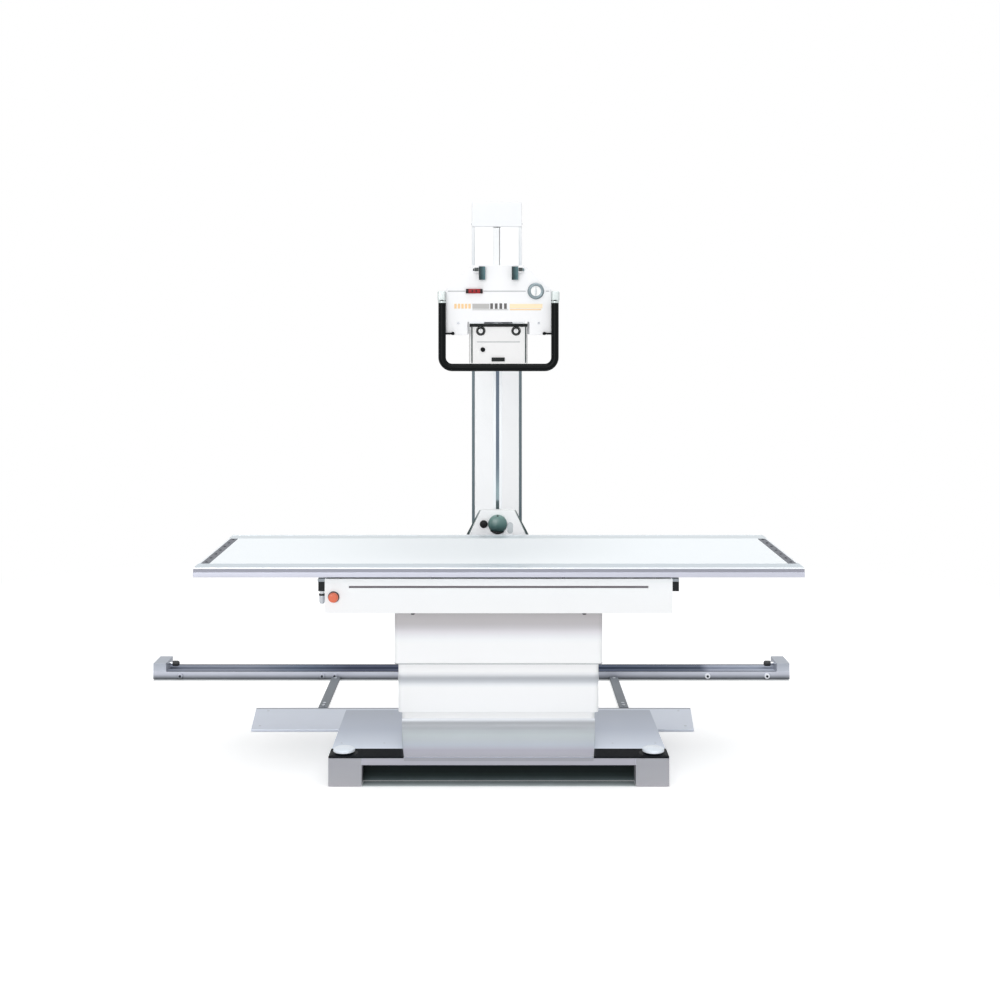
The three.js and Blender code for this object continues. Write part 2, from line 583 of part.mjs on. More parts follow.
// Table frame: tray with the bucky runners, slotted front panel, lateral guides and their small controls
function makeFrame() {
  const frame = new THREE.Group();
  const height = [FRAME_BOTTOM, FRAME_TOP];
  const trayFront = -FRAME_FACE + SHEET + GAP;
  const pocket = slab(about(0, FRAME_LENGTH - 2 * SHEET), [trayFront - CUT_PAST, FRAME_FACE - SHEET],
    [FRAME_BOTTOM + SHEET, FRAME_TOP + CUT_PAST]);
  const tray = cut(slab(about(0, FRAME_LENGTH), [trayFront, FRAME_FACE], height), pocket);
  const runnerTop = FRAME_BOTTOM + SHEET + BUCKY_RUNNER_HEIGHT;
  const runners = [-1, 1].map((sign) => slab(about(0, FRAME_LENGTH - SHEET),
    about(sign * BUCKY_RUNNER_SPAN / 2, BUCKY_RUNNER_WIDTH), [FRAME_BOTTOM + SHEET / 2, runnerTop]));
  add(frame, 'frame_tray', join(tray, ...runners), WHITE);

  const stopX = -FRAME_LENGTH / 2 + STOP_FROM_END;
  const stopZ = FRAME_TOP - STOP_DROP;
  const panelSpan = [-FRAME_FACE, -FRAME_FACE + SHEET];
  const through = [-FRAME_FACE - CUT_PAST, -FRAME_FACE + SHEET + CUT_PAST];
  const slot = slab(about(0, SLOT_LENGTH), through, about(FRAME_TOP - SLOT_DROP, SLOT_HEIGHT));
  const stopBore = boreRound(STOP_STEM_RADIUS, KNOB_SIDES);
  const stopHole = turned('y', rod(stopBore, through), [stopX, 0, stopZ], KNOB_SIDES);
  const panel = slab(about(0, FRAME_LENGTH), panelSpan, height);
  add(frame, 'front_panel', cut(panel, slot, stopHole), WHITE);

  for (const [side, sign] of Object.entries(SIDE_NAMES)) {
    const middle = sign * (FRAME_LENGTH / 2 + GAP + GUIDE_WIDTH / 2);
    const guideSpan = [FRAME_TOP - GUIDE_HEIGHT, FRAME_TOP];
    const guide = slab(about(middle, GUIDE_WIDTH), about(0, GUIDE_LENGTH), guideSpan);
    add(frame, `${side}_lateral_guide`, guide, BLACK);
  }

  const capBack = -FRAME_FACE - STOP_TRAVEL - GAP;
  const [capFront, stemEnd] = [capBack - STOP_CAP_DEPTH, -FRAME_FACE + 2 * SHEET];
  const stopProfile = [[0, capFront], [STOP_RADIUS, capFront], [STOP_RADIUS, capBack],
    [STOP_STEM_RADIUS, capBack], [STOP_STEM_RADIUS, stemEnd], [0, stemEnd]];
  add(frame, 'emergency_stop', turned('y', stopProfile, [stopX, 0, stopZ], KNOB_SIDES), ORANGE_RED);

  const lockTop = FRAME_TOP - GUIDE_HEIGHT - GAP;
  const [neckEnd, lockEnd] = [lockTop - LOCK_NECK_LENGTH, lockTop - LOCK_LENGTH];
  const lockProfile = [[0, lockEnd], [LOCK_RADIUS, lockEnd], [LOCK_RADIUS, neckEnd],
    [LOCK_NECK_RADIUS, neckEnd], [LOCK_NECK_RADIUS, lockTop], [0, lockTop]];
  const lockPlace = [-FRAME_LENGTH / 2 - GAP - GUIDE_WIDTH / 2, -FRAME_FACE + LOCK_FROM_FRONT, 0];
  add(frame, 'lateral_lock_knob', turned('z', lockProfile, lockPlace, KNOB_SIDES), PALE_METAL);

  const buckySpan = [runnerTop + GAP, runnerTop + GAP + BUCKY_HEIGHT];
  add(frame, 'bucky', slab(about(0, BUCKY_LENGTH), about(0, BUCKY_WIDTH), buckySpan), DARK_STEEL);

  const armFloor = FRAME_BOTTOM + FULCRUM_ARM_RISE;
  const armSpan = [armFloor, armFloor + FULCRUM_ARM_HEIGHT];
  const arm = slab(about(0, FULCRUM_ARM_WIDTH), [FRAME_FACE + GAP, FULCRUM_FRONT - GAP], armSpan);
  add(frame, 'fulcrum_arm', arm, WHITE);
  const [foot, waist, top] = [FULCRUM_ARM_WIDTH / 2, FULCRUM_WIDTH / 2, FULCRUM_TOP_WIDTH / 2];
  const shoulder = TOP_HEIGHT - FULCRUM_SHOULDER_DROP;
  const taper = TOP_HEIGHT - FULCRUM_WAIST_DROP;
  const outline = [[-foot, armFloor], [foot, armFloor], [waist, shoulder], [waist, taper],
    [top, FULCRUM_TOP], [-top, FULCRUM_TOP], [-waist, taper], [-waist, shoulder]];
  add(frame, 'fulcrum_post', alongY(polygon(outline), [FULCRUM_FRONT, FULCRUM_BACK]), WHITE);
  const knobSpan = [FULCRUM_FRONT - GAP - FULCRUM_KNOB_LENGTH, FULCRUM_FRONT - GAP];
  const knob = turned('y', rod(FULCRUM_KNOB_RADIUS, knobSpan), [0, 0, FULCRUM_KNOB_HEIGHT]);
  add(frame, 'fulcrum_knob', knob, TEAL);
  return frame;
}

// Floating top: a cross frame that slides across, and the patient top that slides along it
function makeTop() {
  const top = new THREE.Group();
  const reach = FRAME_LENGTH / 2 + GAP + GUIDE_WIDTH + FLOAT_RAIL_OVERHANG;
  const rails = [-1, 1].map((sign) => slab([-reach, reach],
    about(sign * FLOAT_RAIL_SPAN / 2, FLOAT_RAIL_WIDTH), [FLOAT_BOTTOM, FLOAT_TOP]));
  const barMiddle = FRAME_LENGTH / 2 + GAP + GUIDE_WIDTH / 2;
  const bars = [-1, 1].map((sign) => slab(about(sign * barMiddle, GUIDE_WIDTH), about(0, CROSSBAR_LENGTH),
    [FLOAT_BOTTOM, FLOAT_BOTTOM + CROSSBAR_HEIGHT]));
  add(top, 'float_frame', join(...rails, ...bars), GREY_METAL);

  const panelLength = TOP_LENGTH - 2 * (END_STRIP_WIDTH + GAP);
  const panelWidth = TOP_WIDTH - 2 * (EDGE_FLANGE_WIDTH + GAP);
  const panel = slab(about(0, panelLength), about(0, panelWidth), [PANEL_BOTTOM, TOP_HEIGHT]);
  add(top, 'top_panel', panel, PALE_LAMINATE);

  const outer = TOP_WIDTH / 2;
  const [nose, inner] = [outer - EDGE_RAIL_WIDTH, outer - EDGE_FLANGE_WIDTH];
  const [low, high] = [TOP_HEIGHT - EDGE_RAIL_HEIGHT, TOP_HEIGHT];
  const [grooveLow, grooveHigh] = about(high - EDGE_GROOVE_DROP, EDGE_GROOVE_HEIGHT);
  const grooveFloor = outer - EDGE_GROOVE_DEPTH;
  const section = [[inner, PANEL_BOTTOM], [nose, PANEL_BOTTOM], [nose, low], [outer, low], [outer, grooveLow],
    [grooveFloor, grooveLow], [grooveFloor, grooveHigh], [outer, grooveHigh], [outer, high], [inner, high]];
  const front = section.map(([y, z]) => [-y, z]);
  add(top, 'front_edge_rail', alongX(polygon(front), about(0, TOP_LENGTH)), PALE_METAL);
  add(top, 'rear_edge_rail', alongX(polygon(section), about(0, TOP_LENGTH)), PALE_METAL);
  for (const [side, sign] of Object.entries(SIDE_NAMES)) {
    const middle = sign * (TOP_LENGTH / 2 - END_STRIP_WIDTH / 2);
    const strip = slab(about(middle, END_STRIP_WIDTH), about(0, panelWidth), [low, high]);
    add(top, `${side}_end_strip`, strip, GREY_PAINT);
  }
  return top;
}

// Floor rail with end blocks and sprung bumpers, drawn from the rail's own middle
function makeRail() {
  const rail = new THREE.Group();
  rail.position.set(RAIL_OFFSET, TABLE_TO_RAIL, 0);
  const [half, groove] = [RAIL_WIDTH / 2, RAIL_GROOVE_WIDTH / 2];
  const grooveFloor = RAIL_HEIGHT - RAIL_GROOVE_DEPTH;
  const section = [[-half, 0], [half, 0], [half, RAIL_HEIGHT], [groove, RAIL_HEIGHT],
    [groove, grooveFloor], [-groove, grooveFloor], [-groove, RAIL_HEIGHT], [-half, RAIL_HEIGHT]];
  const stopMiddle = RAIL_LENGTH / 2 - RAIL_STOP_LENGTH / 2;
  const stops = [-1, 1].map((sign) => slab(about(sign * stopMiddle, RAIL_STOP_LENGTH),
    about(0, RAIL_STOP_DEPTH), [0, RAIL_STOP_HEIGHT]));
  const track = alongX(polygon(section), about(0, RAIL_LENGTH));
  add(rail, 'floor_rail', join(track, ...stops), GREY_METAL);

  const root = RAIL_LENGTH / 2 - RAIL_STOP_LENGTH - GAP;
  const neck = root - BUMPER_STEM_LENGTH;
  const nose = neck - BUMPER_LENGTH;
  const profile = [[0, nose], [BUMPER_RADIUS, nose], [BUMPER_RADIUS, neck], [BUMPER_STEM_RADIUS, neck],
    [BUMPER_STEM_RADIUS, root], [0, root]];
  const bumper = turned('x', profile, [0, 0, BUMPER_HEIGHT], KNOB_SIDES);
  add(rail, 'left_rail_bumper', mirrored(bumper), BLACK);
  add(rail, 'right_rail_bumper', bumper, BLACK);
  return rail;
}

// Half a turn over the top of the pulley, from its front to its back
class HalfTurn extends THREE.Curve {
  constructor(radius, height) {
    super();
    this.radius = radius;
    this.height = height;
  }

  getPoint(t) {
    const angle = Math.PI * (1 - t);
    return new THREE.Vector3(0, this.radius * Math.cos(angle), this.height + this.radius * Math.sin(angle));
  }
}

// Column on its rail carriage, with the counterbalance inside, drawn from the column's own middle
function makeColumn() {
  const column = new THREE.Group();
  column.position.set(0, TABLE_TO_RAIL, 0);
  const block = slab(about(0, CARRIAGE_LENGTH), about(0, CARRIAGE_DEPTH), [RAIL_HEIGHT + GAP, CARRIAGE_TOP]);
  const tongueFloor = RAIL_HEIGHT - RAIL_GROOVE_DEPTH + TONGUE_FLOOR_GAP;
  const tongueWidth = RAIL_GROOVE_WIDTH - 2 * GAP;
  const tongue = slab(about(0, TONGUE_LENGTH), about(0, tongueWidth), [tongueFloor, RAIL_HEIGHT + 2 * GAP]);
  add(column, 'rail_carriage', join(block, tongue), GREY_METAL);

  const [w, d] = [COLUMN_WIDTH / 2, COLUMN_DEPTH / 2];
  const [iw, id] = [w - COLUMN_WALL, d - COLUMN_WALL];
  const lip = COLUMN_SLOT / 2;
  const section = [[-lip, -d], [-lip, -id], [-iw, -id], [-iw, id], [iw, id], [iw, -id], [lip, -id],
    [lip, -d], [w, -d], [w, d], [-w, d], [-w, -d]];
  add(column, 'column', alongZ(polygon(section), [COLUMN_BASE, CAP_BOTTOM - GAP]), WHITE);

  const capOuter = slab(about(0, COLUMN_WIDTH), about(0, COLUMN_DEPTH), [CAP_BOTTOM, COLUMN_TOP]);
  const capInner = slab(about(0, COLUMN_INSIDE_WIDTH), about(0, 2 * COLUMN_INSIDE_FACE),
    [CAP_BOTTOM - CUT_PAST, COLUMN_TOP - COLUMN_WALL]);
  add(column, 'column_cap', cut(capOuter, capInner), WHITE);

  const knobFace = -CARRIAGE_DEPTH / 2 - GAP;
  const knobProfile = rod(BRAKE_KNOB_RADIUS, [knobFace - BRAKE_KNOB_LENGTH, knobFace]);
  const knob = turned('y', knobProfile, [0, 0, BRAKE_KNOB_HEIGHT], KNOB_SIDES);
  add(column, 'brake_knob', knob, TEAL);

  const shaftEnd = COLUMN_INSIDE_WIDTH / 2 - GAP;
  const [rim, floor] = [PULLEY_WIDTH / 2, PULLEY_GROOVE_FLOOR / 2];
  const wheel = [[0, -shaftEnd], [PULLEY_SHAFT_RADIUS, -shaftEnd], [PULLEY_SHAFT_RADIUS, -rim],
    [PULLEY_RADIUS, -rim], [PULLEY_GROOVE_RADIUS, -floor], [PULLEY_GROOVE_RADIUS, floor],
    [PULLEY_RADIUS, rim], [PULLEY_SHAFT_RADIUS, rim], [PULLEY_SHAFT_RADIUS, shaftEnd], [0, shaftEnd]];
  const pulley = turned('x', wheel, [0, 0, PULLEY_HEIGHT]);
  add(column, 'pulley', pulley, DARK_STEEL);

  const sliderTop = ARM_HEIGHT + SLIDER_HEIGHT / 2 + GAP;
  const overPulley = new HalfTurn(CABLE_OFFSET, PULLEY_HEIGHT);
  const wrap = new THREE.CurvePath();
  wrap.add(new THREE.LineCurve3(new THREE.Vector3(0, -CABLE_OFFSET, sliderTop), overPulley.getPoint(0)));
  wrap.add(overPulley);
  const ring = new THREE.Shape();
  ring.absarc(0, 0, CABLE_RADIUS, 0, 2 * Math.PI);
  const sweep = { steps: CABLE_STEPS, extrudePath: wrap, curveSegments: CABLE_SIDES / 2 };
  const cable = new THREE.ExtrudeGeometry(ring, sweep);
  add(column, 'front_cable', cable, DARK_STEEL);
  const weightTop = WEIGHT_BOTTOM + WEIGHT_HEIGHT;
  const rearSpan = [weightTop + GAP, PULLEY_HEIGHT - GAP];
  const rear = turned('z', rod(CABLE_RADIUS, rearSpan), [0, CABLE_OFFSET, 0], CABLE_SIDES);
  add(column, 'rear_cable', rear, DARK_STEEL);

  const weightDepth = [-WEIGHT_FRONT_OFFSET, COLUMN_INSIDE_FACE - GAP];
  const weight = slab(about(0, COLUMN_INSIDE_WIDTH - 2 * GAP), weightDepth, [WEIGHT_BOTTOM, weightTop]);
  add(column, 'counterweight', weight, DARK_STEEL);

  const plateDepth = [ARM_PLATE_FACE, ARM_PLATE_BACK];
  const plate = slab(about(0, ARM_PLATE_WIDTH), plateDepth, about(ARM_HEIGHT, ARM_PLATE_HEIGHT));
  const sliderFront = -COLUMN_INSIDE_FACE + GAP;
  const sliderHeight = about(ARM_HEIGHT, SLIDER_HEIGHT);
  const neckDepth = [ARM_PLATE_BACK - CUT_PAST, sliderFront + CUT_PAST];
  const neck = slab(about(0, COLUMN_SLOT - 2 * GAP), neckDepth, sliderHeight);
  const slider = slab(about(0, SLIDER_WIDTH), [sliderFront, sliderFront + SLIDER_DEPTH], sliderHeight);
  const bossSpan = [ARM_PLATE_FACE - ARM_BOSS_LENGTH, ARM_PLATE_FACE + CUT_PAST];
  const boss = turned('y', rod(ARM_BOSS_RADIUS, bossSpan), [0, 0, ARM_HEIGHT]);
  const boreSpan = [bossSpan[0] - CUT_PAST, ARM_BORE_END];
  const bore = turned('y', rod(boreRound(ARM_RADIUS), boreSpan), [0, 0, ARM_HEIGHT]);
  add(column, 'arm_carriage', cut(join(plate, neck, slider, boss), bore), WHITE);
  return column;
}

// The tube insert's turned profile along X, grown by a clearance
function tubeProfile(grow) {
  const [barrel, end] = [TUBE_BARREL / 2, TUBE_LENGTH / 2];
  const [radius, tip] = [TUBE_RADIUS + grow, TUBE_END_RADIUS + grow];
  const reach = end + grow;
  return [[0, -reach], [tip, -reach], [radius, -barrel], [radius, barrel], [tip, reach], [0, reach]];
}

// Tube head with the arm it turns on, drawn from the arm's axis
function makeHead() {
  const head = new THREE.Group();
  head.position.set(0, 0, ARM_HEIGHT);
  const axis = [0, 0, 0];
  const armStart = YOKE_BACK + GAP;
  const armEnd = TABLE_TO_RAIL + ARM_BORE_END - GAP;
  const wallInside = HEAD_BACK - HEAD_WALL;
  const collarEnd = wallInside - GAP;
  const armProfile = [[ARM_BORE_RADIUS, armStart], [ARM_FLANGE_RADIUS, armStart],
    [ARM_FLANGE_RADIUS, armStart + ARM_FLANGE_THICK], [ARM_RADIUS, armStart + ARM_FLANGE_THICK],
    [ARM_RADIUS, collarEnd - ARM_FLANGE_THICK], [ARM_FLANGE_RADIUS, collarEnd - ARM_FLANGE_THICK],
    [ARM_FLANGE_RADIUS, collarEnd], [ARM_RADIUS, collarEnd], [ARM_RADIUS, armEnd], [ARM_BORE_RADIUS, armEnd],
    [ARM_BORE_RADIUS, armStart]];
  add(head, 'arm_tube', turned('y', armProfile, axis), PALE_METAL);

  const rodFront = FULCRUM_BACK + ROD_BEHIND_FULCRUM;
  const collarSpan = [rodFront + COLLAR_SET_BACK, rodFront + COLLAR_SET_BACK + COLLAR_LENGTH];
  const collarThrough = [collarSpan[0] - CUT_PAST, collarSpan[1] + CUT_PAST];
  const collarHole = turned('y', rod(boreRound(ARM_RADIUS), collarThrough), axis);
  const collar = cut(turned('y', rod(COLLAR_RADIUS, collarSpan), axis), collarHole);
  const barFoot = FULCRUM_KNOB_HEIGHT - ROD_PAST_FULCRUM - ARM_HEIGHT;
  const barHeight = [barFoot, -ARM_RADIUS - ROD_CLEAR_OF_ARM];
  const bar = slab(about(0, ROD_WIDTH), [rodFront, rodFront + ROD_THICK], barHeight);
  add(head, 'tomography_rod', join(collar, bar), PALE_METAL);

  const horn = rod(SOCKET_RADIUS, [SOCKET_ROOT, HEAD_BACK + SOCKET_PROUD]);
  const hornPlaces = [-1, 1].map((sign) => [sign * SOCKET_FROM_CENTRE, 0, -SOCKET_DROP]);
  const sockets = hornPlaces.map((place) => turned('y', horn, place, KNOB_SIDES));
  const port = turned('z', rod(PORT_RADIUS, [-COLLIMATOR_DROP + GAP, -PORT_ROOT]), axis);
  const barrel = turned('x', tubeProfile(0), axis);
  add(head, 'tube_housing', join(barrel, port, ...sockets), GREY_METAL);
  const yokeBlock = slab(about(0, YOKE_WIDTH), [YOKE_FRONT, YOKE_BACK], about(0, YOKE_HEIGHT));
  const portRoom = turned('z', rod(boreRound(PORT_RADIUS), [-COLLIMATOR_DROP, -PORT_ROOT + GAP]), axis);
  add(head, 'tube_yoke', cut(yokeBlock, turned('x', tubeProfile(GAP), axis), portRoom), GREY_METAL);

  addCovers(head);
  addControls(head);
  head.add(makeCollimator());
  return head;
}

// The hood's outline at a level above the seam, set in by a wall
function hoodOutline(wall, low, high) {
  const run = (HOOD_WIDTH - HOOD_CROWN_WIDTH) / 2;
  const setIn = wall * Math.hypot(run, HOOD_HEIGHT) / HOOD_HEIGHT;
  const halfAt = (rise) => HOOD_WIDTH / 2 - setIn - rise * run / HOOD_HEIGHT;
  const [floor, crown] = [SEAM_RISE + low, SEAM_RISE + high];
  const [wide, narrow] = [halfAt(low), halfAt(high)];
  return polygon([[-wide, floor], [wide, floor], [narrow, crown], [-narrow, crown]]);
}

// Upper hood and lower cover of the head, cut for the arm, cable sockets, brake bar and collimator
function addCovers(head) {
  const depth = [-HEAD_FRONT, HEAD_BACK];
  const inside = [-HEAD_FRONT + HEAD_WALL, HEAD_BACK - HEAD_WALL];
  const backWall = [HEAD_BACK - HEAD_WALL - CUT_PAST, HEAD_BACK + CUT_PAST];
  const frontWall = [-HEAD_FRONT - CUT_PAST, -HEAD_FRONT + HEAD_WALL + CUT_PAST];
  const armHole = turned('y', rod(boreRound(ARM_RADIUS), backWall), [0, 0, 0]);
  const barRoom = [about(-BAR_FROM_CENTRE, BAR_LENGTH + 2 * GAP), about(SEAM_RISE, BAR_HEIGHT + 2 * GAP)];
  const barHole = slab(barRoom[0], frontWall, barRoom[1]);
  const lugMiddle = LEVER_FROM_CENTRE + LEVER_WIDTH / 2 + LUG_SIDE_GAP + LUG_WIDTH / 2;
  const pivotY = -HEAD_FRONT - LEVER_PIVOT_PROUD;
  const lugBlock = slab(about(lugMiddle, LUG_WIDTH), [pivotY - LUG_RADIUS, -HEAD_FRONT + HEAD_WALL],
    about(LEVER_PIVOT_RISE, 2 * LUG_RADIUS));
  const studBore = rod(boreRound(LEVER_STUD_RADIUS, KNOB_SIDES), about(lugMiddle, LUG_WIDTH + 2 * CUT_PAST));
  const studHole = turned('x', studBore, [0, pivotY, LEVER_PIVOT_RISE], KNOB_SIDES);
  const lug = cut(lugBlock, studHole);

  const hoodShell = cut(alongY(hoodOutline(0, GAP, HOOD_HEIGHT), depth),
    alongY(hoodOutline(HEAD_WALL, -CUT_PAST, HOOD_HEIGHT - HEAD_WALL), inside));
  add(head, 'upper_hood', cut(join(hoodShell, lug, mirrored(lug)), armHole, barHole), WHITE);

  const low = SEAM_RISE - LOWER_COVER_HEIGHT;
  const block = slab(about(0, LOWER_COVER_WIDTH), depth, [low, SEAM_RISE]);
  const hollowWidth = LOWER_COVER_WIDTH - 2 * HEAD_WALL;
  const hollow = slab(about(0, hollowWidth), inside, [low - CUT_PAST, SEAM_RISE + CUT_PAST]);
  const notch = slab(about(0, NOTCH_WIDTH), [-HEAD_FRONT - CUT_PAST, HEAD_BACK + CUT_PAST],
    [low - CUT_PAST, low + NOTCH_HEIGHT]);
  const socketBore = rod(boreRound(SOCKET_RADIUS, KNOB_SIDES), backWall);
  const socketHoles = [-1, 1].map((sign) => turned('y', socketBore,
    [sign * SOCKET_FROM_CENTRE, 0, -SOCKET_DROP], KNOB_SIDES));
  add(head, 'lower_cover', cut(block, hollow, notch, armHole, barHole, ...socketHoles), WHITE);
}

// Dial, needle, brake bar, clamp levers and grab handle on the head's front
function addControls(head) {
  const face = -HEAD_FRONT - GAP;
  const dialFace = face - DIAL_THICK;
  const dialPlace = [DIAL_FROM_CENTRE, 0, SEAM_RISE];
  add(head, 'angle_dial', turned('y', rod(DIAL_RADIUS, [dialFace, face]), dialPlace), PALE_METAL);
  const [tip, side] = [NEEDLE_LENGTH / 2, NEEDLE_WIDTH / 2];
  const needle = alongY(polygon([[0, -tip], [side, 0], [0, tip], [-side, 0]]),
    [dialFace - GAP - NEEDLE_THICK, dialFace - GAP]).translate(DIAL_FROM_CENTRE, 0, SEAM_RISE);
  add(head, 'dial_needle', needle, BLACK);

  const bar = slab(about(-BAR_FROM_CENTRE, BAR_LENGTH), [-HEAD_FRONT - BAR_PROUD, -HEAD_FRONT + BAR_INSIDE],
    about(SEAM_RISE, BAR_HEIGHT));
  add(head, 'brake_bar', bar, DARK_RED);

  const pivotY = -HEAD_FRONT - LEVER_PIVOT_PROUD;
  const paddle = slab(about(LEVER_FROM_CENTRE, LEVER_WIDTH), about(pivotY, LEVER_THICK),
    [LEVER_PIVOT_RISE + LEVER_TOP_RISE - LEVER_HEIGHT, LEVER_PIVOT_RISE + LEVER_TOP_RISE]);
  const studEnd = LEVER_FROM_CENTRE + LEVER_WIDTH / 2 + LEVER_STUD_LENGTH;
  const studProfile = rod(LEVER_STUD_RADIUS, [LEVER_FROM_CENTRE, studEnd]);
  const stud = turned('x', studProfile, [0, pivotY, LEVER_PIVOT_RISE], KNOB_SIDES);
  const lever = join(paddle, stud);
  add(head, 'left_clamp_lever', mirrored(lever), TEAL);
  add(head, 'right_clamp_lever', lever, TEAL);

  const y = -HEAD_FRONT - HANDLE_PROUD;
  const [half, drop, bend] = [HANDLE_SPAN / 2, -HANDLE_DROP, HANDLE_CORNER];
  const at = (x, z) => new THREE.Vector3(x, y, z);
  const path = new THREE.CurvePath();
  path.add(new THREE.LineCurve3(at(-half, HANDLE_TOP_RISE), at(-half, drop + bend)));
  path.add(new THREE.QuadraticBezierCurve3(at(-half, drop + bend), at(-half, drop), at(-half + bend, drop)));
  path.add(new THREE.LineCurve3(at(-half + bend, drop), at(half - bend, drop)));
  path.add(new THREE.QuadraticBezierCurve3(at(half - bend, drop), at(half, drop), at(half, drop + bend)));
  path.add(new THREE.LineCurve3(at(half, drop + bend), at(half, HANDLE_TOP_RISE)));
  const ring = new THREE.Shape();
  ring.absarc(0, 0, HANDLE_RADIUS, 0, 2 * Math.PI);
  const sweep = { steps: HANDLE_STEPS, extrudePath: path, curveSegments: HANDLE_SIDES / 2 };
  const tube = new THREE.ExtrudeGeometry(ring, sweep);
  const socketStart = LOWER_COVER_WIDTH / 2 + GAP;
  const socketTop = SEAM_RISE - GAP;
  const socketFront = y - HANDLE_RADIUS - GAP;
  const socket = slab([socketStart, socketStart + HANDLE_SOCKET_WIDTH],
    [socketFront, socketFront + HANDLE_SOCKET_DEPTH], [socketTop - HANDLE_SOCKET_HEIGHT, socketTop]);
  add(head, 'grab_handle', join(tube, socket, mirrored(socket)), BLACK);
}

// Collimator that turns under the tube port, drawn from its top face
function makeCollimator() {
  const collimator = new THREE.Group();
  collimator.position.set(0, 0, -COLLIMATOR_DROP);
  const face = -COLLIMATOR_DEPTH / 2;
  const lampPlace = [-LAMP_FROM_CENTRE, 0, -LAMP_DROP];
  const pocketFloor = face - LAMP_PROUD + LAMP_LENGTH + LAMP_TRAVEL + GAP;
  const lampBore = rod(boreRound(LAMP_RADIUS, KNOB_SIDES), [face - CUT_PAST, pocketFloor]);
  const pocket = turned('y', lampBore, lampPlace, KNOB_SIDES);
  const plan = roundedRect(COLLIMATOR_WIDTH, COLLIMATOR_DEPTH, COLLIMATOR_CORNER);
  const box = alongZ(plan, [-COLLIMATOR_HEIGHT, 0]);
  add(collimator, 'collimator_body', cut(box, pocket), WHITE);
  for (const [side, sign] of Object.entries(SIDE_NAMES)) {
    const place = [sign * FIELD_KNOB_FROM_CENTRE, 0, -FIELD_KNOB_DROP];
    const knobProfile = rod(FIELD_KNOB_RADIUS, [face - GAP - FIELD_KNOB_LENGTH, face - GAP]);
    const knob = turned('y', knobProfile, place, KNOB_SIDES);
    add(collimator, `${side}_collimator_knob`, knob, WHITE);
  }
  const lampProfile = rod(LAMP_RADIUS, [face - LAMP_PROUD, face - LAMP_PROUD + LAMP_LENGTH]);
  const lamp = turned('y', lampProfile, lampPlace, KNOB_SIDES);
  add(collimator, 'lamp_button', lamp, BLACK);
  return collimator;
}

// The whole object, with its origin on the floor under the middle of its box
const object = new THREE.Group();
object.add(makeBase(), makeFootSwitches(), makePedestal(), makeFrame());
object.add(makeTop(), makeRail(), makeColumn(), makeHead());
const box = new THREE.Box3().setFromObject(object, true);
const middle = box.getCenter(new THREE.Vector3());
object.children.forEach((child) => child.position.sub(new THREE.Vector3(middle.x, middle.y, box.min.z)));

export default object;
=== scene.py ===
"""Radiography table with a lifting pedestal, a floating top and a tube column on a floor rail."""
import json
import math

import bmesh
import bpy
from mathutils import Matrix, Vector

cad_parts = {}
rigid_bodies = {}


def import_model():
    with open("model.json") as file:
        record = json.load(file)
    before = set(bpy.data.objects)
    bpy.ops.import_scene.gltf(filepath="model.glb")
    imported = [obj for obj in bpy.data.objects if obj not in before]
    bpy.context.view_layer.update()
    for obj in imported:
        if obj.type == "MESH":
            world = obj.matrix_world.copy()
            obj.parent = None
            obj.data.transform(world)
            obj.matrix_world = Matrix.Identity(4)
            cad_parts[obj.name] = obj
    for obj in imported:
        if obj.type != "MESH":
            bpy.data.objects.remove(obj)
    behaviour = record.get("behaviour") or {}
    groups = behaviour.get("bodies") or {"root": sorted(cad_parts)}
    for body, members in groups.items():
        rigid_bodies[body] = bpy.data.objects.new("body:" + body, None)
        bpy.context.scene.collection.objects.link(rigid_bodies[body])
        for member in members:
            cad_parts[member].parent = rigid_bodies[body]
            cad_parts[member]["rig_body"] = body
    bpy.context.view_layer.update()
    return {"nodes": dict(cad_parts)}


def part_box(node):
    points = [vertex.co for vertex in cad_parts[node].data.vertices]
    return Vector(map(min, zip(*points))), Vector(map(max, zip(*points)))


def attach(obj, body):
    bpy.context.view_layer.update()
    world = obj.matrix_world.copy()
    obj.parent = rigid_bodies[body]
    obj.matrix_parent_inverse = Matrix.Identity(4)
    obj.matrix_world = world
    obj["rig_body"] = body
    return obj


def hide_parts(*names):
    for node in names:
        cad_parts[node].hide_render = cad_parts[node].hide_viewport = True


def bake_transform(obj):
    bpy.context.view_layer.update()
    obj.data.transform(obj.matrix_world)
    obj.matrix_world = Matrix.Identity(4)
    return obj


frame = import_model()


# Base deck
# A rolled aluminium plate, ground lengthwise, that the whole table stands on, painted lighter towards
# its front as a sheen. Its front edge carries a pressed nosing, a black toe board painted with shade
# hangs below it over a grey sheet on the floor that paints the shadow under the deck, and sunk screws
# hold it to the two feet.
def tint(colour):
    """A paint-chart colour, 0 to 255 a channel, as the shader takes it."""
    parts = [c / 255 for c in colour]
    return [c / 12.92 if c <= 0.04045 else ((c + 0.055) / 1.055) ** 2.4 for c in parts] + [1.0]


def feed(node, inputs):
    """Sets the inputs of a shader node, and links those that another node's output drives."""
    for place, value in inputs.items():
        if isinstance(value, bpy.types.NodeSocket):
            node.id_data.links.new(value, node.inputs[place])
        else:
            node.inputs[place].default_value = value


def wired(tree, kind, inputs, **settings):
    """A new shader node with its settings made and its inputs fed."""
    node = tree.nodes.new("ShaderNode" + kind)
    for setting, value in settings.items():
        setattr(node, setting, value)
    feed(node, inputs)
    return node


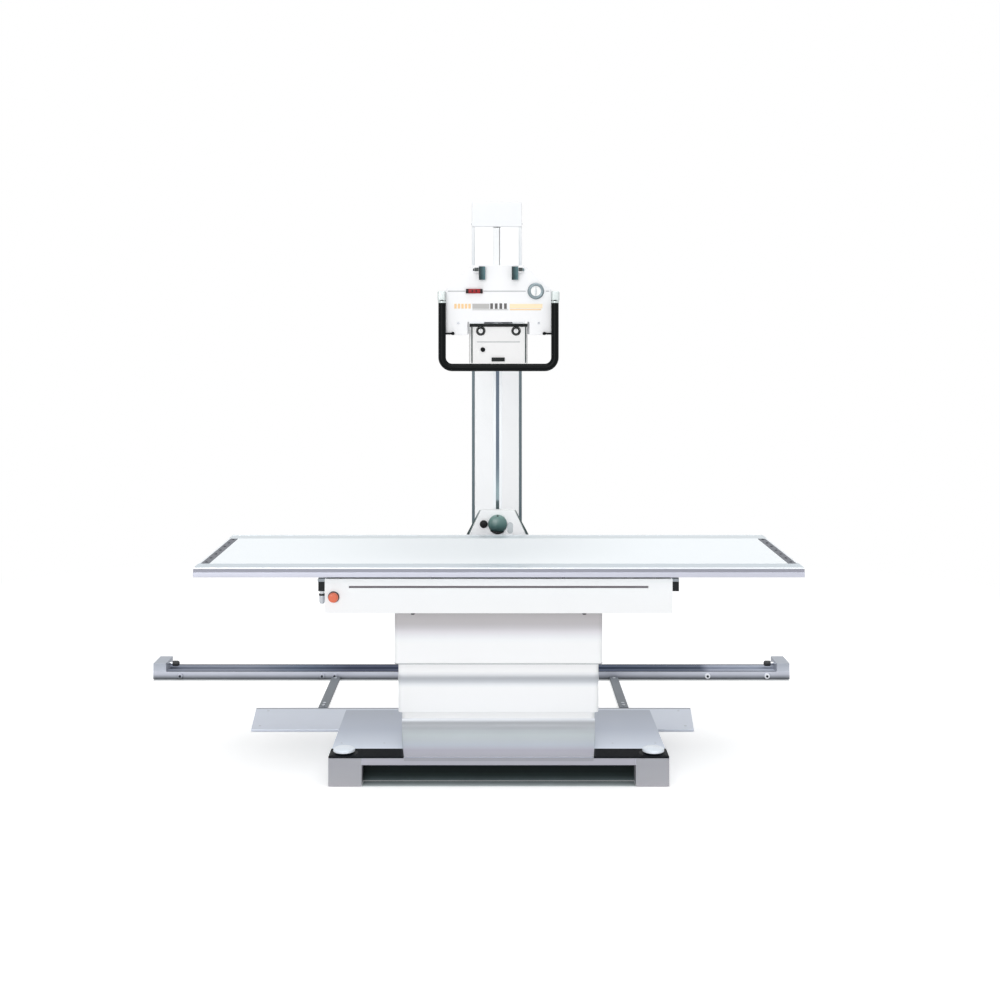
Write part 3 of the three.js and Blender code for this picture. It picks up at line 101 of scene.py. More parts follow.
def surface(name, tone, roughness, metallic=0.0, grain=300, mottle=0.03, swing=0.05, relief=0.04,
            coat=0.0, shine=0.5):
    """One finish: its tone clouds a little, its polish varies and its grain stands up by a hair.

    tone is a colour, or an axis and a list of (place, colour) stops where it changes along the piece.
    grain is its fineness, one number for all ways or one for each axis.
    """
    made = bpy.data.materials.new(name)
    made.use_nodes = True
    tree = made.node_tree
    where = wired(tree, "TexCoord", {}).outputs["Object"]

    def noise(scale, detail):
        spread = wired(tree, "Mapping", {"Vector": where, "Scale": scale}).outputs["Vector"]
        cloud = wired(tree, "TexNoise", {"Vector": spread, "Scale": 1.0, "Detail": detail})
        return cloud.outputs["Fac"]

    fibres = noise((grain, grain, grain) if isinstance(grain, int) else grain, 4)
    worn = wired(tree, "Mix", {"Factor": 0.5, 2: noise((7, 7, 7), 3), 3: fibres}).outputs[0]
    shades = wired(tree, "ValToRGB", {"Fac": worn})
    dark, light = shades.color_ramp.elements
    dark.position, light.position = 0.35, 0.65
    dark.color = [1 - mottle] * 3 + [1]
    if isinstance(tone[0], str):
        axis, stops = tone
        first, last = stops[0][0], stops[-1][0]
        split = wired(tree, "SeparateXYZ", {"Vector": where}).outputs[axis]
        along = wired(tree, "MapRange", {"Value": split, "From Min": first, "From Max": last})
        ramp = wired(tree, "ValToRGB", {"Fac": along.outputs["Result"]})
        while len(ramp.color_ramp.elements) < len(stops):
            ramp.color_ramp.elements.new(0.5)
        for element, (place, shade) in zip(ramp.color_ramp.elements, stops):
            element.position = (place - first) / (last - first)
            element.color = tint(shade)
        colour = ramp.outputs["Color"]
    else:
        colour = tint(tone)
    mixed = wired(tree, "Mix", {0: 1.0, 6: colour, 7: shades.outputs["Color"]},
                  data_type="RGBA", blend_type="MULTIPLY")
    polish = wired(tree, "MapRange", {
        "Value": worn, "From Min": 0.3, "From Max": 0.7,
        "To Min": max(roughness - swing, 0.02), "To Max": roughness + swing})
    raised = wired(tree, "Bump", {"Strength": relief, "Distance": 0.0005, "Height": fibres})
    feed(tree.nodes["Principled BSDF"], {
        "Metallic": metallic, "Coat Weight": coat, "Specular IOR Level": shine,
        "Base Color": mixed.outputs[2], "Roughness": polish.outputs["Result"],
        "Normal": raised.outputs["Normal"]})
    return made


def tones(start, *steps):
    """Stops for a finish: (distance, colour) steps measured from where the change starts."""
    return [(start + distance, colour) for distance, colour in steps]


def fit(name, work, material, body, sharp=40):
    """Turns a worked shape into a named piece that rides on its body, or on none if none is given."""
    bmesh.ops.recalc_face_normals(work, faces=work.faces[:])
    mesh = bpy.data.meshes.new(name)
    work.to_mesh(mesh)
    work.free()
    mesh.materials.append(material)
    mesh.shade_smooth()
    mesh.set_sharp_from_angle(angle=math.radians(sharp))
    piece = bpy.data.objects.new(name, mesh)
    bpy.context.scene.collection.objects.link(piece)
    piece.modifiers.new("evened_shading", "WEIGHTED_NORMAL").keep_sharp = True
    if body:
        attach(piece, body)
    return piece


def rounded(work, edges, radius, steps=2):
    """Rounds hard edges over, as filing or moulding leaves them."""
    bmesh.ops.bevel(work, geom=edges, offset=radius, segments=steps, profile=0.5, affect="EDGES",
                    clamp_overlap=True)


def eased(node, radius, material, steps=2):
    """A solid of the frame again with its hard edges rounded over."""
    solid = frame["nodes"][node]
    work = bmesh.new()
    work.from_mesh(solid.data)
    bmesh.ops.remove_doubles(work, verts=work.verts[:], dist=1e-5)
    bmesh.ops.dissolve_limit(work, angle_limit=math.radians(1), verts=work.verts[:],
                             edges=work.edges[:])
    rounded(work, [e for e in work.edges
                   if len(e.link_faces) == 2 and e.calc_face_angle(0) > math.radians(30)],
            radius, steps)
    piece = fit(f"{node}_made", work, material, solid["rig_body"])
    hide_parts(node)
    return piece


def plates(name, boxes, radius, material, body, steps=2):
    """Rounded plates or bars, one or many, given by their low and high corners."""
    work = bmesh.new()
    for low, high in boxes:
        low, high = Vector(low), Vector(high)
        place = Matrix.LocRotScale((low + high) / 2, None, high - low)
        cube = bmesh.ops.create_cube(work, size=1.0, matrix=place)
        edges = dict.fromkeys(e for v in cube["verts"] for e in v.link_edges)
        rounded(work, list(edges), radius, steps)
    return fit(name, work, material, body)


def ring_of(work, radius, along, turn, sides, lobes=0, lobe_depth=0.0):
    """One turned ring of points, or a single point on the axis, carried into place by turn."""
    if radius < 1e-6:
        return [work.verts.new(turn @ Vector((0, 0, along)))]
    ring = []
    for i in range(sides):
        angle = 2 * math.pi * i / sides
        reach = radius - lobe_depth * (0.5 - 0.5 * math.cos(lobes * angle))
        point = Vector((reach * math.cos(angle), reach * math.sin(angle), along))
        ring.append(work.verts.new(turn @ point))
    return ring


def skin(work, rings, closed=False):
    """Faces between each ring and the next; a ring of one point closes to a tip."""
    pairs = list(zip(rings, rings[1:]))
    if closed:
        pairs.append((rings[-1], rings[0]))
    for one, two in pairs:
        sides = max(len(one), len(two))
        for i in range(sides):
            j = (i + 1) % sides
            if len(one) == 1:
                work.faces.new((one[0], two[i], two[j]))
            elif len(two) == 1:
                work.faces.new((one[i], two[0], one[j]))
            else:
                work.faces.new((one[i], two[i], two[j], one[j]))


screw_steel = surface("screw_steel", (176, 180, 186), 0.3, metallic=1.0, grain=900, mottle=0.1)


def screws(name, places, facing, radius, body, material=screw_steel):
    """Socket-head screws in one mesh: low round heads with a driven recess, facing one way."""
    work = bmesh.new()
    aim = Vector(facing).to_track_quat("Z", "Y")
    head = ((0, 0), (1, 0), (1, 0.35), (0.86, 0.5), (0.5, 0.5), (0.42, 0.2), (0, 0.2))
    for place in places:
        turn = Matrix.LocRotScale(Vector(place), aim, None)
        skin(work, [ring_of(work, r * radius, h * radius, turn, 16) for r, h in head])
    return fit(name, work, material, body)


hair, glue = 0.0001, 0.0002  # the gap under a piece that is laid on, and under one that is glued
lengthwise, up = (9, 500, 500), (0, 0, 1)
deck_low, deck_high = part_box("base_deck")
deck_front, deck_back = deck_low.y, deck_high.y
foot_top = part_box("left_foot")[1].z
toe_left, toe_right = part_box("left_foot")[1].x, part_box("right_foot")[0].x
deck_under = foot_top + 0.0003
# The deck's grey is painted lighter towards its front edge: a painted sheen.
deck_painted_sheen = surface(
    "deck_plate_painted_sheen",
    ("Y", tones(deck_front, (0, (220, 229, 241)), (0.096, (216, 225, 238)), (0.2, (200, 208, 221)),
                (0.36, (176, 184, 199))) + [(deck_back, (160, 167, 180))]),
    0.36, metallic=0.75, grain=(9, 600, 600), mottle=0.05, relief=0.05)
eased("base_deck", 0.0015, deck_painted_sheen)
nosing_metal = surface("pressed_nosing", (168, 168, 178), 0.42, metallic=0.4, grain=lengthwise,
                       mottle=0.06)
nosing_top, nosing_sheet = deck_high.z - 0.0024, 0.0018
plates("deck_nosing", [((toe_left + 0.001, deck_front - nosing_sheet, deck_under + 0.001),
                        (toe_right - 0.001, deck_front - hair, nosing_top))],
       0.0006, nosing_metal, "base")
toe_depth, toe_gap, board_foot = 0.06, 0.0005, 0.0032
toe_face = deck_front + toe_depth
# The toe board is painted near black under the deck as shade, and lighter towards the floor as the
# floor's painted reflection.
toe_painted_shade = surface(
    "toe_board_painted_shade",
    ("Z", [(0.003, (110, 121, 123)), (0.012, (66, 77, 78)), (0.022, (40, 49, 49)),
           (0.036, (24, 32, 32)), (deck_under, (14, 18, 19))]),
    0.7, mottle=0.2, relief=0.1, shine=0.1)
plates("toe_board_skin", [((toe_left + toe_gap, toe_face - 0.0012, board_foot),
                           (toe_right - toe_gap, toe_face - glue, deck_under - glue))],
       0.0003, toe_painted_shade, "base")
# A thin grey sheet on the floor of the toe recess, darker towards the back, is painted shadow under the
# deck.
recess_painted_shadow = surface(
    "recess_floor_painted_shadow",
    ("Y", tones(deck_front, (0, (206, 214, 215)), (0.02, (180, 189, 190)),
                (toe_depth, (132, 142, 143)))),
    0.8, grain=500, mottle=0.1, relief=0.15, shine=0.1)
plates("toe_space_shadow_sheet", [((toe_left + toe_gap, deck_front + 0.001, hair),
                          (toe_right - toe_gap, toe_face - 0.0014, 0.0016))],
       0.0004, recess_painted_shadow, "base")
screws("deck_screws",
       [(x, y, deck_high.z - 0.0016)
        for x in (deck_low.x + 0.03, deck_low.x + 0.19, deck_high.x - 0.19, deck_high.x - 0.03)
        for y in (deck_front + 0.18, deck_back - 0.06)],
       up, 0.004, "base")


# Feet
# Two folded steel channels under the deck, stove-enamelled grey. A flat plate of the same grey is
# glued over the front of each, deck edge and all.
both_sides = (("left", -1), ("right", 1))
foot_enamel = surface(
    "foot_enamel",
    ("Z", [(0.0, (170, 170, 176)), (0.03, (163, 164, 170)), (foot_top, (158, 159, 166))]),
    0.4, grain=420, mottle=0.025, relief=0.05)
face_sheet, face_foot = 0.0022, 0.0012
for side, _ in both_sides:
    low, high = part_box(f"{side}_foot")
    eased(f"{side}_foot", 0.003, foot_enamel)
    plates(f"{side}_foot_face", [((low.x, deck_front - face_sheet, face_foot),
                                  (high.x, deck_front - glue, nosing_top))],
           0.0009, foot_enamel, "base")


# Front apron
# A satin aluminium sheet rolled into a hollow sweep from the pedestal down to the deck's front edge, so
# that a shoe meets no corner. It is lipped at the foot, and the lip turns down over the deck's edge.
# The sweep's tones are painted reflections and shade, and the lip's darker grey is painted shade.
def drawn(name, outline, axis, span, material, body, edge=0.0006):
    """A bar or sheet drawn along one axis, its section given by the points round its outline."""
    work = bmesh.new()
    at = "xyz".index(axis)
    ends = [[work.verts.new((*point[:at], place, *point[at:])) for point in outline]
            for place in span]
    work.faces.new(ends[0])
    work.faces.new(ends[1][::-1])
    skin(work, ends)
    bmesh.ops.recalc_face_normals(work, faces=work.faces[:])
    rounded(work, [e for e in work.edges if e.calc_face_angle(0) > math.radians(50)], edge)
    return fit(name, work, material, body, sharp=35)


def swept(start, end, steps):
    """Angles in even steps from one bearing to another, given in degrees."""
    return [math.radians(start + (end - start) * i / steps) for i in range(steps + 1)]


apron_low, apron_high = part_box("front_apron")
apron_lip = 0.004
apron_depth, apron_drop = apron_high.y - apron_low.y, apron_high.z - apron_low.z - apron_lip
hollow = [(apron_high.y, apron_low.z)]
hollow += [(apron_high.y - apron_depth * (1 - math.cos(bend)),
            apron_high.z - apron_drop * math.sin(bend)) for bend in swept(0, 90, 32)]
hollow.append((apron_low.y, apron_low.z))
# The sweep's greys and lilacs, from the bright line at its top down to its foot, are painted
# reflections and shade.
apron_painted_reflections = surface(
    "apron_painted_reflections",
    ("Y", tones(apron_low.y, (0, (183, 182, 191)), (0.062, (188, 186, 199)), (0.079, (196, 198, 209)),
                (0.102, (200, 207, 217)), (0.136, (205, 212, 217)), (0.162, (209, 217, 220)),
                (0.182, (202, 208, 212)))
     + tones(apron_high.y, (-0.011, (173, 176, 181)), (-0.006, (160, 164, 168)),
             (-0.003, (164, 167, 172)), (-0.0007, (192, 196, 202)), (0, (222, 225, 230)))),
    0.38, metallic=0.3, grain=lengthwise, mottle=0.03)
apron_middle, apron_front_half = (apron_low.x + apron_high.x) / 2, 0.344
apron_back_half = (apron_high.x - apron_low.x) / 2
apron = drawn("front_apron_made", hollow, "x", (apron_low.x, apron_high.x), apron_painted_reflections, "base")
for corner in apron.data.vertices:
    forward = (apron_high.y - corner.co.y) / apron_depth
    narrowing = 1 + forward * (apron_front_half / apron_back_half - 1)
    corner.co.x = apron_middle + (corner.co.x - apron_middle) * narrowing
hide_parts("front_apron")
# The lip's darker grey is painted shade along the joint with the deck's edge.
lip_shade = surface("apron_lip_painted_shade", (150, 151, 159), 0.42, metallic=0.3, grain=lengthwise,
                    mottle=0.05)
lip_half, lip_turn_down = apron_front_half - 0.0005, 0.0115
plates("apron_foot_lip",
       [((apron_middle - lip_half, deck_front - 0.0034, deck_high.z - lip_turn_down),
         (apron_middle + lip_half, deck_front - 0.0019, deck_high.z + 0.0006))],
       0.0006, lip_shade, "base")


# Step strips
# Black ribbed rubber mats either side of the apron, moulded with the round seat of a foot switch, glued
# to the deck and lipped over its front edge.
def measured(node):
    """A solid's low and high corners at rest, and the middle between them."""
    low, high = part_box(node)
    return low, high, (low + high) / 2


strip_rubber = surface("strip_rubber", (9, 13, 19), 0.55, grain=700, mottle=0.2, relief=0.12,
                       shine=0.12)
strip_top = deck_high.z + 0.0043
rib_count, rib_pitch, rib_half, shortest_rib = 8, 0.0115, 0.0025, 0.008
first_rib, rib_margin, side_slope, seat_margin = 0.0085, 0.005, 0.097, 0.012
for side, sign in both_sides:
    low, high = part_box(f"{side}_step_strip")
    dome_low, dome_high, seat = measured(f"{side}_foot_switch")
    seat_reach = (dome_high.x - dome_low.x) / 2 + seat_margin
    eased(f"{side}_step_strip", 0.0012, strip_rubber)
    ribs = []
    for row in range(rib_count):
        y = low.y + first_rib + row * rib_pitch
        slant = 0.006 + (y - low.y) * side_slope
        left_margin, right_margin = (rib_margin, slant) if sign < 0 else (slant, rib_margin)
        near, far = low.x + left_margin, high.x - right_margin
        chord = math.sqrt(max(seat_reach ** 2 - (y - seat.y) ** 2, 0))
        for start, end in ((near, seat.x - chord), (seat.x + chord, far)):
            if end - start > shortest_rib:
                ribs.append(((start, y - rib_half, strip_top - 0.0005),
                             (end, y + rib_half, strip_top + 0.0014)))
    plates(f"{side}_strip_ribs", ribs, 0.0009, strip_rubber, "base")
    plates(f"{side}_strip_lip", [((low.x + 0.0003, deck_front - 0.0026, nosing_top + 0.0003),
                                  (high.x - 0.0003, deck_front - hair, strip_top - 0.0004))],
           0.0008, strip_rubber, "base")


# Foot switches
# Pale moulded domes that are trodden down to raise or lower the table. Each rides on a spring in its
# seat and has a turned groove round its rim.
def turned(name, profile, centre, facing, material, body, sides=64, lobes=0, lobe_depth=0.0):
    """A lathe-turned piece: (radius, rise) points from end to end along the way it faces.

    A profile that starts off the axis is a ring. Lobes scallop its widest turns for the fingers.
    """
    work = bmesh.new()
    turn = Matrix.LocRotScale(Vector(centre), Vector(facing).to_track_quat("Z", "Y"), None)
    widest = max(r for r, _ in profile)
    rings = [ring_of(work, r, h, turn, sides, lobes, lobe_depth if r > 0.8 * widest else 0.0)
             for r, h in profile]
    skin(work, rings, closed=profile[0][0] > 1e-6)
    return fit(name, work, material, body, sharp=35)


dome_plastic = surface("dome_plastic", (232, 239, 247), 0.3, grain=600, mottle=0.02)
for side, _ in both_sides:
    low, high, middle = measured(f"{side}_foot_switch")
    reach, rise, shoulder = (high.x - low.x) / 2, high.z - low.z, 0.0086
    crown = [(0, 0), (reach * 0.93, 0), (reach, 0.002), (reach, 0.006), (reach - 0.0012, 0.0068),
             (reach - 0.0012, 0.0078), (reach - 0.0002, shoulder)]
    crown += [(reach * math.cos(bend) * 0.995, shoulder + (rise - shoulder) * math.sin(bend))
              for bend in swept(0, 90, 12)[1:-1]]
    crown.append((0, rise))
    dome = turned(f"{side}_foot_switch_made", crown, (middle.x, middle.y, low.z), up, dome_plastic,
                  f"{side}_foot_switch")
    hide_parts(f"{side}_foot_switch")


# Pedestal covers
# Three white enamelled shells, one inside the next, that telescope over the lift. Each has rounded
# corners and a rolled rim; a bead stiffens the middle one and a grey rubber wiper edges the upper one.
# A grey band of painted shade runs round the middle one at its bead, the upper one greys towards its
# top with the painted shadow of the frame above, and the skirt is lifted towards its top with painted
# light.
def shell(name, low, high, levels, material, body):
    """A folded shell or bead round a box: (inset, height) levels run up outside and down inside."""
    def round_corners(inset):
        ring = []
        radius = max(cover_corner - inset, 0.002)
        for quarter, (sx, sy) in enumerate(((1, 1), (-1, 1), (-1, -1), (1, -1))):
            cx = (high.x - inset - radius) if sx > 0 else (low.x + inset + radius)
            cy = (high.y - inset - radius) if sy > 0 else (low.y + inset + radius)
            for step in range(9):
                angle = (quarter + step / 8) * math.pi / 2
                ring.append((cx + radius * math.cos(angle), cy + radius * math.sin(angle)))
        return ring

    work = bmesh.new()
    rings = [[work.verts.new((x, y, z)) for x, y in round_corners(inset)] for inset, z in levels]
    skin(work, rings, closed=True)
    return fit(name, work, material, body, sharp=50)


def enamel(name, tone, roughness=0.32, grain=380, coat=0.1):
    """White stove enamel, smooth to the hand, in one colour or in the tones it takes on."""
    return surface(name, tone, roughness, grain=grain, mottle=0.012, relief=0.03, coat=coat)


wall, rim, cover_corner, clean_white = 0.004, 0.0016, 0.018, (250, 251, 252)
# The skirt's white is lifted a hair towards its top: painted light against the shade under the middle
# cover.
skirt_painted_light = enamel("skirt_painted_light", ("Z", [(0.10, (252, 253, 254)), (0.20, (254, 255, 255))]))
# The grey band round the middle cover at its bead is painted shade.
middle_painted_shade = enamel("middle_cover_painted_shade", ("Z", [
    (0.308, clean_white), (0.315, (244, 247, 249)), (0.323, (228, 231, 235)), (0.330, (206, 210, 215)),
    (0.338, (186, 190, 196)), (0.345, (178, 182, 188)), (0.352, (200, 203, 208)),
    (0.360, (236, 238, 241)), (0.369, clean_white)]))
# The upper cover greys towards its top: the painted shadow of the frame above it.
upper_painted_shadow = enamel("upper_cover_painted_shadow", ("Z", [
    (0.476, clean_white), (0.491, (246, 248, 250)), (0.506, (236, 237, 241)), (0.521, (223, 221, 226)),
    (0.536, (200, 198, 202)), (0.551, (186, 183, 186)), (0.566, (184, 181, 183)),
    (0.609, (177, 174, 176))]))
bead = [(0.0004, 0.322), (-0.0004, 0.328), (-0.0012, 0.336), (-0.0014, 0.342), (-0.0008, 0.352),
        (0.0004, 0.358)]
for node, body, finish in (("base_skirt", "base", skirt_painted_light),
                           ("middle_cover", "middle_cover", middle_painted_shade),
                           ("upper_cover", "table_frame", upper_painted_shadow)):
    low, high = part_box(node)
    walls = [(rim, low.z), (0.0004, low.z + 0.0005), (0, low.z + rim), (0, high.z - rim),
             (0.0004, high.z - 0.0005), (rim, high.z), (wall - rim, high.z), (wall, high.z - rim),
             (wall, low.z + rim), (wall - rim, low.z)]
    cover = shell(f"{node}_made", low, high, walls, finish, body)
    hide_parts(node)
    if node == "middle_cover":
        shell("middle_cover_bead", low, high, bead, finish, body)
upper_low, upper_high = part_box("upper_cover")
wiper_grey = surface("wiper_lip_grey", (176, 180, 183), 0.6, grain=700, mottle=0.08, shine=0.2)
lip = [(0.0030, -0.0012), (-0.0004, -0.0012), (-0.0008, 0), (-0.0006, 0.0022), (0.0030, 0.0022)]
shell("upper_cover_wiper", upper_low, upper_high, [(inset, upper_low.z + rise) for inset, rise in lip],
      wiper_grey, "table_frame")


# Lift post and ram
# The guided column inside the pedestal: a machined steel box standing on the deck and an aluminium ram
# that slides out of it to raise the table.
def dress(node, material):
    """Gives a solid of the frame its finish and leaves its shape as it is."""
    for held in frame["nodes"][node].material_slots:
        held.material = material


upright = (500, 500, 12)
post_steel = surface("post_steel", (140, 144, 150), 0.35, metallic=1.0, grain=upright, mottle=0.08)
ram_metal = surface("ram_metal", (196, 200, 205), 0.28, metallic=1.0, grain=upright, mottle=0.06)
dress("lift_post", post_steel)
dress("lift_ram", ram_metal)


# Table frame
# A white tray of folded sheet that the lift carries, closed in front by a panel with one long slot for
# the film carrier. Two small black pegs under the front edge hold the panel on.
frame_enamel = enamel("frame_enamel", clean_white)
panel_low, panel_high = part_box("front_panel")
eased("frame_tray", 0.0012, frame_enamel)
eased("front_panel", 0.0008, frame_enamel)
slot_black = surface("slot_felt", (122, 118, 122), 0.9, grain=900, mottle=0.3, relief=0.2)
panel_middle, slot_line = (panel_low.x + panel_high.x) / 2, panel_high.z - 0.030
felt_half, felt_rise = 0.551, 0.0042
plates("slot_felt_backing",
       [((panel_middle - felt_half, panel_low.y + 0.0012, slot_line - felt_rise),
         (panel_middle + felt_half, panel_high.y - glue, slot_line + felt_rise))],
       0.0003, slot_black, "table_frame")
peg_black = surface("panel_peg_black", (44, 46, 50), 0.5, mottle=0.12, shine=0.25)
peg = [(0, 0), (0.0075, 0), (0.0075, 0.0045), (0.0062, 0.0062), (0, 0.0066)]
peg_spread, down = 0.317, (0, 0, -1)
for side, sign in both_sides:
    turned(f"{side}_panel_peg", peg,
           (panel_middle + sign * peg_spread, panel_low.y + 0.011, panel_low.z - hair), down,
           peg_black, "table_frame", sides=32)


# Lateral guides
# Black anodised bars across both ends of the frame, on which the float frame runs to and fro. Grey
# caps stop their ends.
guide_anodised = surface("guide_anodised", (26, 29, 32), 0.4, metallic=0.3, grain=(500, 9, 500),
                         mottle=0.12, shine=0.25)
cap_grey = surface("cap_grey", (158, 164, 170), 0.45, mottle=0.04)
for side, _ in both_sides:
    low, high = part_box(f"{side}_lateral_guide")
    eased(f"{side}_lateral_guide", 0.0015, guide_anodised)
    plates(f"{side}_guide_end_cap", [((low.x + 0.001, low.y - 0.003, low.z + 0.001),
                                      (high.x - 0.001, low.y - glue, high.z - 0.0125))],
           0.001, guide_anodised, "table_frame")
    plates(f"{side}_guide_top_cap", [((low.x - 0.0015, low.y - 0.0045, high.z - 0.012),
                                      (high.x - 0.0005, low.y - glue, high.z - 0.0008))],
           0.001, cap_grey, "table_frame")


# Emergency stop
# An orange-red mushroom push in a dark collar on the front panel, pressed to stop the motors. It is
# moulded with a shallow dish and a turned skirt.
stop_low, stop_high, stop_middle = measured("emergency_stop")
reach, depth = (stop_high.x - stop_low.x) / 2, panel_low.y - stop_low.y
stop_root, to_front = (stop_middle.x, panel_low.y, stop_middle.z), (0, -1, 0)
stop_plastic = surface("stop_plastic", (230, 112, 78), 0.34, grain=500, mottle=0.05, coat=0.2)
mushroom = [(0, 0), (0.008, 0), (0.008, depth - 0.0135), (reach * 0.82, depth - 0.013),
            (reach, depth - 0.010), (reach, depth - 0.006), (reach * 0.93, depth - 0.0025),
            (reach * 0.75, depth - 0.0006), (reach * 0.5, depth), (reach * 0.2, depth - 0.0006),
            (0, depth - 0.0007)]
stop = turned("emergency_stop_made", mushroom, stop_root, to_front, stop_plastic, "emergency_stop")
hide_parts("emergency_stop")
collar_grey = surface("collar_grey", (70, 56, 54), 0.45, mottle=0.08)
collar = [(0.0092, 0.0001), (0.0212, 0.0001), (0.0212, 0.0010), (0.0203, 0.0016), (0.0190, 0.0016),
          (0.0190, 0.0005), (0.0092, 0.0005)]
turned("stop_collar", collar, stop_root, to_front, collar_grey, "table_frame")


# Lateral lock knob
# A chromed knob that hangs under the left guide and clamps the cross travel. A white neck stands
# between it and the guide, and a black rubber band round it gives the fingers their hold.
lock_low, lock_high, lock_middle = measured("lateral_lock_knob")
reach, length, neck = (lock_high.x - lock_low.x) / 2, lock_high.z - lock_low.z, 0.010
lock_root = (lock_middle.x, lock_middle.y, lock_high.z)
chrome = surface("chrome", (206, 210, 216), 0.14, metallic=1.0, grain=900, mottle=0.05, swing=0.03)
bulb = [(0, neck - 0.0005), (reach * 0.86, neck), (reach * 0.9, neck + 0.008),
        (reach * 0.93, neck + 0.011), (reach * 0.9, length - 0.008), (reach * 0.72, length - 0.0015),
        (reach * 0.4, length), (0, length)]
knob = turned("lateral_lock_knob_made", bulb, lock_root, down, chrome, "lateral_lock_knob")
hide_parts("lateral_lock_knob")
neck_ivory = surface("neck_ivory", (236, 238, 241), 0.4, mottle=0.03)
stalk = [(0, 0), (0.0085, 0), (0.0085, neck - 0.003), (0.0092, neck - 0.0005), (0, neck)]
turned("lock_knob_neck", stalk, lock_root, down, neck_ivory, "lateral_lock_knob",
       sides=40)
grip_rubber = surface("grip_rubber", (30, 31, 33), 0.55, grain=900, mottle=0.2, relief=0.2)
band = [(reach * 0.8, neck + 0.0002), (reach, neck + 0.0006), (reach, neck + 0.0076),
        (reach * 0.8, neck + 0.008)]
turned("lock_knob_band", band, lock_root, down, grip_rubber, "lateral_lock_knob",
       lobes=28, lobe_depth=0.0005, sides=112)


# Film carrier
# The bucky: a black moulded case that runs inside the frame and holds the film under the beam, with a
# pale lid that the beam passes.
bucky_low, bucky_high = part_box("bucky")
case_black = surface("case_black", (58, 60, 64), 0.55, grain=500, mottle=0.12, relief=0.1)
eased("bucky", 0.003, case_black)
lid_grey = surface("lid_grey", (206, 210, 214), 0.45, mottle=0.04)
lid_margin = 0.012
plates("bucky_lid",
       [((bucky_low.x + lid_margin, bucky_low.y + lid_margin, bucky_high.z - 0.0004),
         (bucky_high.x - lid_margin, bucky_high.y - lid_margin, bucky_high.z + 0.0012))],
       0.0005, lid_grey, "bucky")


# Float frame
# A ring of drawn aluminium channel between the frame and the top. Its crossbars run on the lateral
# guides and its long rails carry the top on bearings.
float_metal = surface("float_metal", (186, 190, 196), 0.34, metallic=0.9, grain=(12, 400, 400),
                      mottle=0.05)
eased("float_frame", 0.0012, float_metal)


# Top panel
# A flat pale laminate board that lets the beam through, smooth enough to wipe clean, with its edges
# held in the drawn rails round it.
top_low, top_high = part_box("top_panel")
top_laminate = surface("top_laminate", (246, 251, 254), 0.6, mottle=0.006, swing=0.03, relief=0.012,
                       shine=0.1)
eased("top_panel", 0.001, top_laminate)


# Edge rails
# Drawn aluminium rails along the front and back of the top, anodised blue-grey on the flat and bright
# at the lip, whose white top line is a painted highlight. A groove along the outside takes clamps and
# accessories, its grey painted as the groove's shadow.
flange_anodised = surface(
    "flange_anodised", ("Y", [(top_low.y, (196, 207, 215)), (top_high.y, (206, 215, 220))]),
    0.34, metallic=0.45, grain=lengthwise, mottle=0.03)
# The lip's near-white is a painted highlight along the rail's top edge.
lip_bright_and_highlight = surface("lip_bright_and_highlight", (238, 243, 248), 0.25, metallic=0.35, grain=lengthwise, mottle=0.02)
groove_dark = surface("groove_shadow", (150, 151, 162), 0.5, metallic=0.4, grain=lengthwise,
                      mottle=0.06)
lower_lip = surface("lower_lip_anodised", (196, 198, 211), 0.36, metallic=0.4, grain=lengthwise,
                    mottle=0.03)
lip_foot, groove_foot, groove_reach = 0.0042, 0.0158, 0.0046
lip_inner, lip_outer = 0.009, 0.0005
for side, outward in (("front", -1), ("rear", 1)):
    low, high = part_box(f"{side}_edge_rail")
    rail = eased(f"{side}_edge_rail", 0.0012, flange_anodised)
    for finish in (lip_bright_and_highlight, groove_dark, lower_lip):
        rail.data.materials.append(finish)
    outer = low.y if outward < 0 else high.y
    for face in rail.data.polygons:
        if abs(face.center.y - outer) < groove_reach:
            drop = high.z - face.center.z
            face.material_index = 1 if drop < lip_foot else 2 if drop < groove_foot else 3
    near, far = sorted((outer - outward * lip_inner, outer - outward * lip_outer))
    plates(f"{side}_rail_lip", [((low.x + 0.002, near, high.z - 0.0006),
                                 (high.x - 0.002, far, high.z + 0.0008))],
           0.0006, lip_bright_and_highlight, "tabletop")


# End strips
# Grey rubber-faced strips that close the short ends of the top and take the knocks. A bright moulding
# edges each on the outside, and a row of dark screws holds it down.
end_rubber = surface("end_rubber", (116, 119, 126), 0.6, grain=(400, 60, 400), mottle=0.14, relief=0.1,
                     shine=0.2)
end_dark = surface("end_screw_dark", (70, 72, 78), 0.55, grain=(400, 60, 400), mottle=0.1, shine=0.2)
moulding_outer, moulding_inner = 0.0015, 0.0095
row_inset, row_margin, row_screws = 0.004, 0.03, 7
for side, outward in both_sides:
    low, high, middle = measured(f"{side}_end_strip")
    eased(f"{side}_end_strip", 0.0025, end_rubber)
    outer = low.x if outward < 0 else high.x
    near, far = sorted((outer - outward * moulding_outer, outer - outward * moulding_inner))
    plates(f"{side}_end_moulding", [((near, low.y + 0.001, high.z - 0.0006),
                                     (far, high.y - 0.001, high.z + 0.0006))],
           0.0005, lip_bright_and_highlight, "tabletop")
    pitch = (high.y - low.y - 2 * row_margin) / (row_screws - 1)
    screws(f"{side}_end_screws",
           [(middle.x - outward * row_inset, low.y + row_margin + row * pitch, high.z - 0.0004)
            for row in range(row_screws)],
           up, 0.0048, "tabletop", end_dark)


